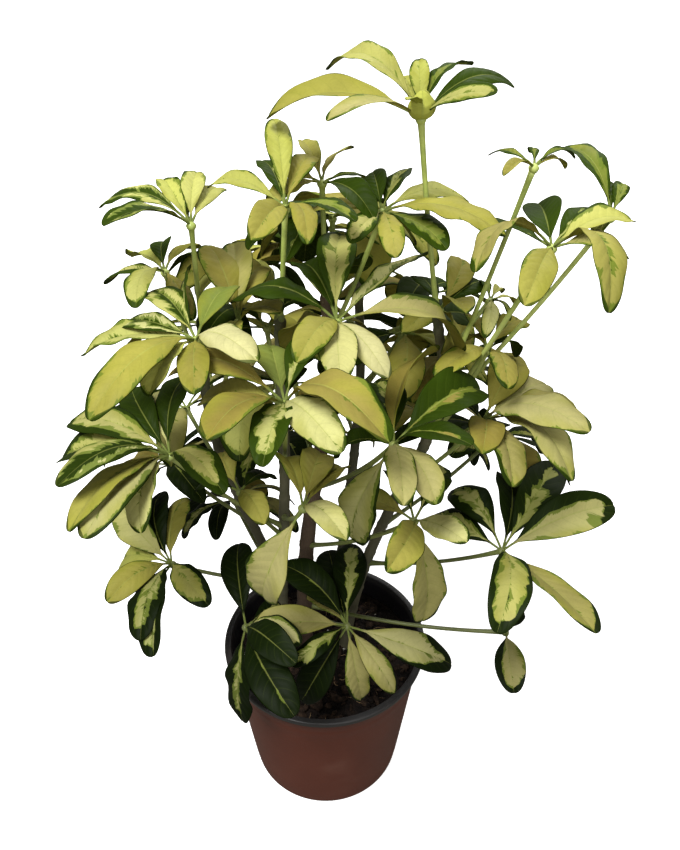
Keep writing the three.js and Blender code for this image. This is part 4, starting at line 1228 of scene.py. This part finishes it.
def tree_of(node):
    """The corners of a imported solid, sorted for finding the nearest one quickly."""
    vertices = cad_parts[node].data.vertices
    tree = kdtree.KDTree(len(vertices))
    for vertex in vertices:
        tree.insert(vertex.co, vertex.index)
    tree.balance()
    return tree


worst = 0.0
for frond in FRONDS:
    frond["corners"] = tree_of(frond["name"])
    found = [read_bend(frond, which) for which in range(len(frond["leaflets"]))]
    frond["laid"] = [laid for off, laid in found]
    worst = max(worst, *(off for off, laid in found))
print("worst corner is off by", round(worst / MM, 3), "mm")

# %% [markdown]
# A stalk leaves its stem outwards and rises into its hub, on a curve with one handle in the middle.
# Where it met another piece, its solid was bowed to a side. That bow is read back too: it is the
# one whose line runs at a stalk's radius from the nearest corners. A line that runs closer to a
# corner scores the same, so two stalks bow by about 2 mm although their solids are straight.

# %% Follow each stalk as its solid runs
PETIOLE_RADIUS = 1.3 * MM
SIDEWAYS = (0, 0.12, -0.12, 0.24, -0.24, 0.36, -0.36, 0.5, -0.5)


def petiole_points(frond, sideways, count):
    """Points along a stalk, which leaves its stem outwards and rises into the hub."""
    start, hub = frond["start"], frond["hub"]
    chord = hub - start
    sag = UP - chord * (UP.dot(chord) / chord.length_squared)
    aside = chord.cross(UP).normalized()
    middle = start + chord * 0.5 + (aside * sideways - sag * frond["bow"]) * chord.length
    shares = [step / (count - 1) for step in range(count)]
    return [start * (1 - t) ** 2 + middle * (2 * t * (1 - t)) + hub * t ** 2 for t in shares]


def read_sideways(frond):
    """The bow whose line keeps a stalk's radius from the solid's corners."""
    def off(sideways):
        point = petiole_points(frond, sideways, 4)[2]
        near = frond["corners"].find_n(point, 4)
        return min(abs((corner - point).length - PETIOLE_RADIUS) + near[3][2]
                   for corner, index, away in near)
    return min(SIDEWAYS, key=off)


for frond in FRONDS:
    frond["sideways"] = read_sideways(frond)
print("bowed stalks:", sum(1 for frond in FRONDS if frond["sideways"]))

# %% [markdown]
# ## Bark and stalks
#
# Bark is a thin grey-brown skin, cracked a little lengthwise, with small pale pores. On the young
# stems green shows through. The stalks are smooth and light green. Everything is darker low in the
# plant: the bark mostly with age, the stalks mostly as painted shade. One function paints them all,
# with its own colours for each.

# %% Finish the bark and the stalks
PORE_PALE = (0.42, 0.36, 0.22, 1)


def paint_rind(name, colour, second, old_and_shaded, roughness, stretch, depth, pores):
    """Bark or green rind: two colours in drifts, darker low down with age and painted shade, with
    lengthwise grain and pores.
    """
    material, tree, shader = start_material(name)
    drifted = use_group(tree, mottle, {
        "Colour": colour, "Patch size": 13.0, "Drift": 0.5, "Specks": 0.3})
    fibres = use_group(tree, grain, {"Size": 1.1, "Stretch": stretch, "Pits": pores})
    tone = eased(tree, drifted["Patches"], 0.38, 0.66)
    skin = mixed(tree, tone, drifted["Colour"], second)
    skin = mixed(tree, times(tree, fibres["Pits"], 0.5), skin, PORE_PALE)
    # Darker low on the plant: for the bark mostly age, for the green stalks mostly painted shade
    skin = use_group(tree, aged_and_painted_shade, {"Colour": skin, "Old shaded colour": old_and_shaded, "Share": 0.8})["Colour"]
    dress(shader, skin, plus(tree, roughness, times(tree, tone, 0.1)),
          roughened(tree, fibres["Height"], depth))
    return material


trunk_bark = paint_rind(
    "trunk_bark", (0.075, 0.048, 0.026, 1), (0.15, 0.11, 0.065, 1), old_and_shaded=(0.060, 0.034, 0.020, 1),
    roughness=0.75, stretch=0.3, depth=0.5, pores=0.8)
young_bark = paint_rind(
    "young_bark", (0.10, 0.11, 0.05, 1), (0.17, 0.16, 0.09, 1), old_and_shaded=(0.070, 0.062, 0.036, 1),
    roughness=0.65, stretch=0.35, depth=0.25, pores=0.6)
# The stalks turn near black low in the plant: mostly painted shade
stalk_green = paint_rind(
    "stalk_green", (0.40, 0.49, 0.11, 1), (0.50, 0.57, 0.16, 1), old_and_shaded=(0.060, 0.070, 0.024, 1),
    roughness=0.4, stretch=0.3, depth=0.06, pores=0.15)
bud_green = paint_rind(
    "bud_green", (0.24, 0.30, 0.09, 1), (0.36, 0.40, 0.14, 1), old_and_shaded=(0.12, 0.15, 0.05, 1),
    roughness=0.5, stretch=0.5, depth=0.08, pores=0.1)
print("rinds:", trunk_bark.name, young_bark.name, stalk_green.name, bud_green.name)

# %% Grow the stems
STEM_SIDES = 20
STEM_WITHIN = 0.15 * MM
SCARS = 16
SCAR_EVERY = 17 * MM
SCAR_PROUD = 0.45 * MM
SCAR_SOFT = 1.3 * MM
BUD_SCALES = 3
SCALE_WIDTHS = np.array([0.9, 1.5, 1.6, 1.3, 0.9, 0.5, 0.1]) * MM


def stem_radius(name, share):
    """A stem's radius at a share of its length."""
    stem = STEMS[name]
    return (stem["foot"] + (stem["top"] - stem["foot"]) * math.sqrt(share)) * MM


def scar_heights(line, number):
    """Where a stalk leaves the stem, and where older stalks once did."""
    starts = [f["start"].z for f in FRONDS if (f["start"] - min(
        line, key=lambda p: (p - f["start"]).length)).length < 0.1 * MM]
    return starts + [line[0].z + SCAR_EVERY * (k + 0.3 * draw(number, k, 31))
                     for k in range(1, SCARS + 1)]


def grow_stem(name, number):
    """A stem with scars, small bumps and a bud on its top."""
    line = STEM_LINES[name]
    scars = scar_heights(line, number)
    centres, radii = list(line), []
    for step, point in enumerate(line):
        near = min(abs(point.z - z) for z in scars)
        swell = SCAR_PROUD * math.exp(-(near / SCAR_SOFT) ** 2)
        wander = 0.25 * MM * noise.noise(point * 60 + Vector((number, 0, 0)))
        radii.append(stem_radius(name, step / (len(line) - 1)) + swell + wander - STEM_WITHIN)
    top, way = line[-1], (line[-1] - line[-3]).normalized()
    for rise, width in ((1.2, 0.75), (2.6, 0.5), (4.2, 0.3), (5.4, 0.1)):
        centres.append(top + way * rise * MM)
        radii.append(stem_radius(name, 1) * width)
    gathered = Gathering()
    gathered.add_rings(tube(centres, radii, STEM_SIDES))
    for scale in range(BUD_SCALES):
        angle = 2.1 * scale + number
        lean = Vector((math.cos(angle), math.sin(angle), 0)) * 2.2 * MM
        bud = [top + lean * (1 - t) * 0.8 + way * (7.5 * t - 1) * MM
               for t in np.linspace(0, 1, len(SCALE_WIDTHS))]
        gathered.add_rings(tube(bud, SCALE_WIDTHS, 10), 1)
    bark = trunk_bark if name == "stem_trunk" else young_bark
    stand_for(gathered.make("woody_" + name, [bark, bud_green]), name, slot="bark")


for number, name in enumerate(STEMS):
    grow_stem(name, number)

# %% [markdown]
# ## One leaflet
#
# The solid leaflet is a plate with a few straight edges. The real one is long and egg-shaped,
# widest past its middle, on a round stalk of its own. Its blade is thin, folded a little along the
# midrib, crowned on each side of it, and waved along its margin. All leaflets use the same grid of
# points: rings across the blade from the hub to the tip, each with 13 points on the upper side and
# 11 more on the under side. Array sums move the whole grid at once, which is much faster than
# moving each point in a loop.

# %% Set the leaflet's grid
ALONG = np.concatenate([[0.0, 0.04, 0.08], np.linspace(0.11, 0.9, 20),
                        [0.93, 0.955, 0.975, 0.989, 0.998]])
ACROSS = np.array([-1, -0.93, -0.78, -0.55, -0.3, -0.1, 0, 0.1, 0.3, 0.55, 0.78, 0.93, 1])
RING_ACROSS = np.concatenate([ACROSS, ACROSS[-2:0:-1]])
RING_SIDE = np.array([1.0] * len(ACROSS) + [-1.0] * (len(ACROSS) - 2))
GRID_FACES = ring_faces(len(ALONG), len(RING_ACROSS))

# The faces of the upper side of each ring take the first material, and so do the two caps
RING_SLOTS = [0 if face < len(ACROSS) - 1 else 1 for face in range(len(RING_ACROSS))]
GRID_SLOTS = RING_SLOTS * (len(ALONG) - 1) + [0, 0]
print("a leaflet has", len(GRID_FACES), "faces")

# %% Shape a leaflet
STALK_END = 0.11
STALK_RADIUS = 0.62 * MM
BLADE_HALF = 0.20 * MM
RIB_DEEP, RIB_WIDE = 0.55 * MM, 0.65 * MM
GROOVE_DEEP, GROOVE_WIDE = 0.22 * MM, 0.8 * MM

# How far the blade folds, how far each half crowns and how far its margin waves: middle and spread
BLADE_RELIEF = [(0.33, 0.16), (-0.23, 0.20), (0.075, 0.05)]


def smooth(value, low, high):
    """0 below low, 1 above high, smooth between."""
    t = np.clip((value - low) / (high - low), 0, 1)
    return t * t * (3 - 2 * t)


def blade_width(t):
    """The outline: how wide the blade is along its length, as a share of the widest."""
    wedge = (1 - (1 - t) ** 2.2) ** 1.3
    return wedge * (1 - t) ** 0.42 / 0.566


def blade_relief(t, v, half, k, seeds):
    """How far each point is raised: by the whole blade's folds and waves, and by its thickness."""
    # Thickness: a round stalk that turns into a thin blade with a rib below
    rounded = np.sqrt(np.clip(1 - v * v, 0, 1))
    thin = BLADE_HALF * rounded ** 0.6
    from_rib = v * half
    groove = GROOVE_DEEP * np.exp(-(from_rib / GROOVE_WIDE) ** 2)
    rib = RIB_DEEP * (1 - t) ** 0.7 * np.exp(-(from_rib / RIB_WIDE) ** 2)
    stalk = (1 - k) * STALK_RADIUS * rounded
    deep = np.where(RING_SIDE[None, :] > 0, stalk + k * (thin - groove), -(stalk + k * (thin + rib)))

    # The whole blade: fold, crown, waves and swelling between the side veins
    fold, crown, waves = (mid + spread * seed for (mid, spread), seed in zip(BLADE_RELIEF, seeds))
    bend = np.abs(v) * fold + v * v * crown
    edge = np.abs(v) ** 2.5 * waves * np.sin((5.5 + 1.5 * seeds[3]) * t * math.pi
                                             + 2.5 * seeds[4] + np.sign(v) * 0.9)
    beside_vein = np.cos(2 * math.pi * SIDE_VEINS * (t - VEIN_SLANT * np.abs(v) ** VEIN_BOW))
    swell = 0.010 * beside_vein * np.abs(v) * (1 - v * v) * 2.2
    return k * half * (bend + edge + swell) + deep


def leaflet_points(laid, number, which):
    """The grid of points of a leaflet, and its blade coordinates."""
    s = ALONG[:, None]
    v = RING_ACROSS[None, :]
    t = np.clip((s - STALK_END) / (1 - STALK_END), 0, 1)
    length, arch = laid["length"], laid["arch"]
    k = smooth(t, 0.0, 0.13)
    half = np.maximum(laid["wide"] / 2 * blade_width(t), STALK_RADIUS * (1 - 0.35 * k))
    seeds = [draw(number, which, 40 + channel) for channel in range(8)]

    # The middle line, as the solid has it, with a slight sway and a drooping tip
    droop = (0.06 + 0.06 * seeds[5]) * length * smooth(s, 0.55, 1.2) ** 1.5
    rise = 4 * arch * length * s * (1 - s) - droop
    slope = 4 * arch * (1 - 2 * s)
    sway = 0.03 * seeds[6] * length * np.sin(math.pi * s)
    along, normal = np.array(laid["along"]), np.array(laid["normal"])
    across = np.cross(along, normal)
    middle = (np.array(laid["hub"]) + along * length * s[..., None] + normal * rise[..., None]
              + across * sway[..., None])

    # The frame at each point of the line, turned by the leaflet's twist
    forward = along + normal * slope[..., None]
    forward /= np.linalg.norm(forward, axis=-1, keepdims=True)
    level = np.cross(across, forward)
    angle = (laid["twist"] * s)[..., None]
    side = across * np.cos(angle) + np.cross(forward, across) * np.sin(angle)
    up = level * np.cos(angle) + np.cross(forward, level) * np.sin(angle)
    relief = blade_relief(t, v, half, k, seeds)
    points = middle + side * (v * half)[..., None] + up * relief[..., None]

    seed = 0.5 + 0.5 * seeds[7]
    grown = np.where(s < STALK_END, (s - STALK_END) * 2, t)
    blade = np.stack([grown + 0 * v, v + 0 * t, seed + 0 * v * t], axis=-1)
    return points.reshape(-1, 3), blade.reshape(-1, 3)


print("a blade is widest at", max(ALONG, key=blade_width).round(2), "of its length")

# %% Give each leaflet its look
# For each letter: reach, flame and heart, then lime, green and dull, then one-sidedness and dark tip
LOOKS = {
    "L": ((1.02, 0.22, -0.50), (0.75, 0.10, 0.15), (0.00, 0.08)),
    "C": ((1.08, 0.18, -0.55), (0.28, 0.03, 0.16), (0.00, 0.08)),
    "W": ((1.35, 0.10, -0.80), (0.10, 0.00, 0.22), (0.00, 0.00)),
    "O": ((1.14, 0.12, -0.55), (0.90, 0.08, 0.70), (0.00, 0.00)),
    "K": ((1.10, 0.14, -0.55), (0.25, 0.08, 0.60), (0.00, 0.10)),
    "B": ((0.70, 0.36, -0.45), (0.50, 0.08, 0.34), (0.00, 0.10)),
    "S": ((0.42, 0.65, -0.25), (0.55, 0.20, 0.10), (0.00, 0.00)),
    "D": ((-0.15, 0.45, -0.25), (0.45, 0.35, 0.20), (0.00, 0.00)),
    "G": ((1.30, 0.15, -0.60), (0.50, 0.95, 0.00), (0.00, 0.00)),
    "H": ((0.98, 0.25, 0.45), (0.30, 0.05, 0.00), (0.00, 0.00)),
    "T": ((0.95, 0.30, -0.55), (0.20, 0.05, 0.30), (-0.12, 0.75)),
    "Q": ((0.72, 0.30, -0.50), (0.15, 0.05, 0.35), (-0.42, 0.10)),
    "P": ((0.62, 0.35, -0.50), (0.35, 0.10, 0.35), (0.45, 0.10)),
    "J": ((0.86, 0.40, 0.30), (0.45, 0.10, 0.02), (0.00, 0.10)),
    "M": ((1.40, 0.10, -0.80), (0.90, 0.10, 0.05), (0.00, 0.00)),
    "Y": ((0.55, 0.60, -0.30), (0.70, 0.90, 0.10), (0.00, 0.20)),
    "N": ((1.22, 0.08, -0.60), (0.25, 0.04, 1.00), (0.00, 0.00)),
    "X": ((0.12, 0.50, -0.30), (0.20, 0.05, 0.90), (0.25, 0.00)),
}


def leaflet_look(look, number, which):
    """The pattern and tint of a leaflet, each a little different from the next."""
    (reach, flame, heart), tones, (lean, tip) = LOOKS[look]
    vary = [draw(number, which, 60 + channel) for channel in range(9)]
    pattern = (reach + 0.06 * vary[0], flame * (1 + 0.35 * vary[1]), heart + 0.15 * vary[2])
    tint = tuple(min(1, max(0, tone + 0.14 * shift)) for tone, shift in zip(tones, vary[3:6]))
    border = (lean + 0.14 * vary[6], tip + 0.15 * vary[7], 0)
    return dict(pattern=pattern, tint=tint, border=border)


print("looks:", len(LOOKS))

# %% [markdown]
# ## Putting a frond together
#
# The stalk is thickest where it clasps the stem, slim in the middle and thicker again under the
# hub, which is a small knob. Stalk, hub and leaflets are one piece, as they grow as one. The frond
# at the very top also holds a few young leaves, which still stand cupped round each other.

# %% Build the stalks and the young leaves
STALK_SIDES = 10
STALK_STEPS = 30
KNOB_SIDES = 12
KNOB_HEIGHTS = (-2.6, -1.6, -0.3, 0.8, 1.5)
KNOB_WIDTHS = np.array([1.4, 2.1, 2.5, 1.8, 0.7]) * MM
BUD_FROND = "frond_01"
BUD_LOOK = "M"
BUD_LEAVES = 3
BUD_STEPS = 12
BUD_SIDES = 12
BUD_LONG = 11.5 * MM
BUD_HALF = 6 * MM
BUD_BULGE = 3.7 * MM
BUD_CUP = 6 * MM
BUD_STAGGER = 0.5 * MM


def add_stalk(gathered, frond):
    """The frond's stalk and the knob at its end."""
    line = petiole_points(frond, frond["sideways"], STALK_STEPS)
    shares = np.linspace(0, 1, STALK_STEPS)
    radii = (1.2 + 1.4 * np.exp(-shares * 16) + 0.6 * np.exp(-(1 - shares) * 14)) * MM
    gathered.add_rings(tube(line, radii, STALK_SIDES), 2)
    knob = [frond["hub"] + frond["axis"] * height * MM for height in KNOB_HEIGHTS]
    gathered.add_rings(tube(knob, KNOB_WIDTHS, KNOB_SIDES), 2)


def look_marks(look, number, which, count):
    """A leaflet's look as attributes, with the same row for each of its points."""
    return {name: [row] * count for name, row in leaflet_look(look, number, which).items()}


def add_bud(gathered, frond):
    """Young leaves that still stand cupped round each other on a frond's hub."""
    hub, axis, number = np.array(frond["hub"]), np.array(frond["axis"]), frond["number"]
    east = np.cross((0.0, 1.0, 0.0), axis)
    east /= np.linalg.norm(east)
    north = np.cross(axis, east)
    angles = round_angles(BUD_SIDES)
    for which in range(BUD_LEAVES):
        turn = 2 * math.pi * which / BUD_LEAVES - math.pi / 2 + 0.2 * draw(number, which, 80)
        out = east * math.cos(turn) + north * math.sin(turn)
        beside = np.cross(axis, out)
        long = BUD_LONG * (1.05 - 0.13 * which + 0.03 * draw(number, which, 81))
        apart = (BUD_LEAVES - 1 - which) * BUD_STAGGER
        rings, blade = [], []
        for share in np.linspace(0.0, 1.0, BUD_STEPS):
            half = BUD_HALF * math.sin(math.pi * (0.15 + 0.82 * share)) ** 0.8
            stand = 1.0 * MM + apart + BUD_BULGE * math.sin(math.pi * 0.93 * share ** 0.75)
            sideways = np.cos(angles) * half
            deep = np.sin(angles) * 0.3 * MM - sideways ** 2 / (2 * BUD_CUP)
            centre = hub + axis * long * share + out * stand
            rings.append(centre + np.outer(sideways, beside) + np.outer(deep, out))
            blade += [(0.3 + 0.4 * share, 0.4 * math.cos(a), 0.1 * which) for a in angles]
        marks = look_marks(BUD_LOOK, number, 20 + which, len(blade))
        gathered.add_rings(rings, 0, blade=blade, **marks)


print("the bud stands", round(BUD_LONG / MM, 1), "mm tall on", BUD_FROND)

# %% Grow the fronds
def grow_frond(frond):
    """A frond's stalk, hub and leaflets as one piece."""
    gathered = Gathering()
    add_stalk(gathered, frond)
    if frond["name"] == BUD_FROND:
        add_bud(gathered, frond)
    for which, laid in enumerate(frond["laid"]):
        points, blade = leaflet_points(laid, frond["number"], which)
        look = frond["leaflets"][which]["look"]
        marks = look_marks(look, frond["number"], which, len(points))
        gathered.add(points, GRID_FACES, GRID_SLOTS, blade=blade, **marks)
    piece = gathered.make("leafy_" + frond["name"], [leaf_upper, leaf_under_painted_shade, stalk_green])
    stand_for(piece, frond["name"], slot="leaf")
    return piece


leafy = [grow_frond(frond) for frond in FRONDS]
print("faces in all fronds:", sum(len(piece.data.polygons) for piece in leafy))

# %% [markdown]
# ## The floor
#
# A wide matt sheet stands for the studio floor. It isn't part of the plant, so it is only staged.

# %% Lay the floor
FLOOR_RADIUS = 9
FLOOR_SIDES = 64
FLOOR_GLOW = 0.72
FLOOR_SHADE = (0.16, 0.16, 0.14, 1)


def lay_floor():
    """A pale floor disc that reaches well past the camera's view and throws little light back."""
    material, tree, shader = start_material("studio_floor")
    seen = add_node(tree, "LightPath").outputs["Is Camera Ray"]
    drifted = use_group(tree, mottle, {
        "Colour": (0.95, 0.95, 0.95, 1), "Patch size": 400.0, "Drift": 0.02, "Specks": 0.0})
    feed(shader["Base Color"], mixed(tree, seen, FLOOR_SHADE, drifted["Colour"]))
    feed(shader["Emission Color"], mixed(tree, seen, (0, 0, 0, 1), (1, 1, 1, 1)))
    shader["Emission Strength"].default_value = FLOOR_GLOW
    shader["Roughness"].default_value = 0.9
    mesh = bpy.data.meshes.new("studio_floor")
    mesh.from_pydata(circle(FLOOR_RADIUS, 0.0, round_angles(FLOOR_SIDES)), [],
                     [list(range(FLOOR_SIDES))])
    mesh.materials.append(material)
    floor = bpy.data.objects.new("studio_floor", mesh)
    SCENE.collection.objects.link(floor)
    return floor


print("staged:", lay_floor().name)
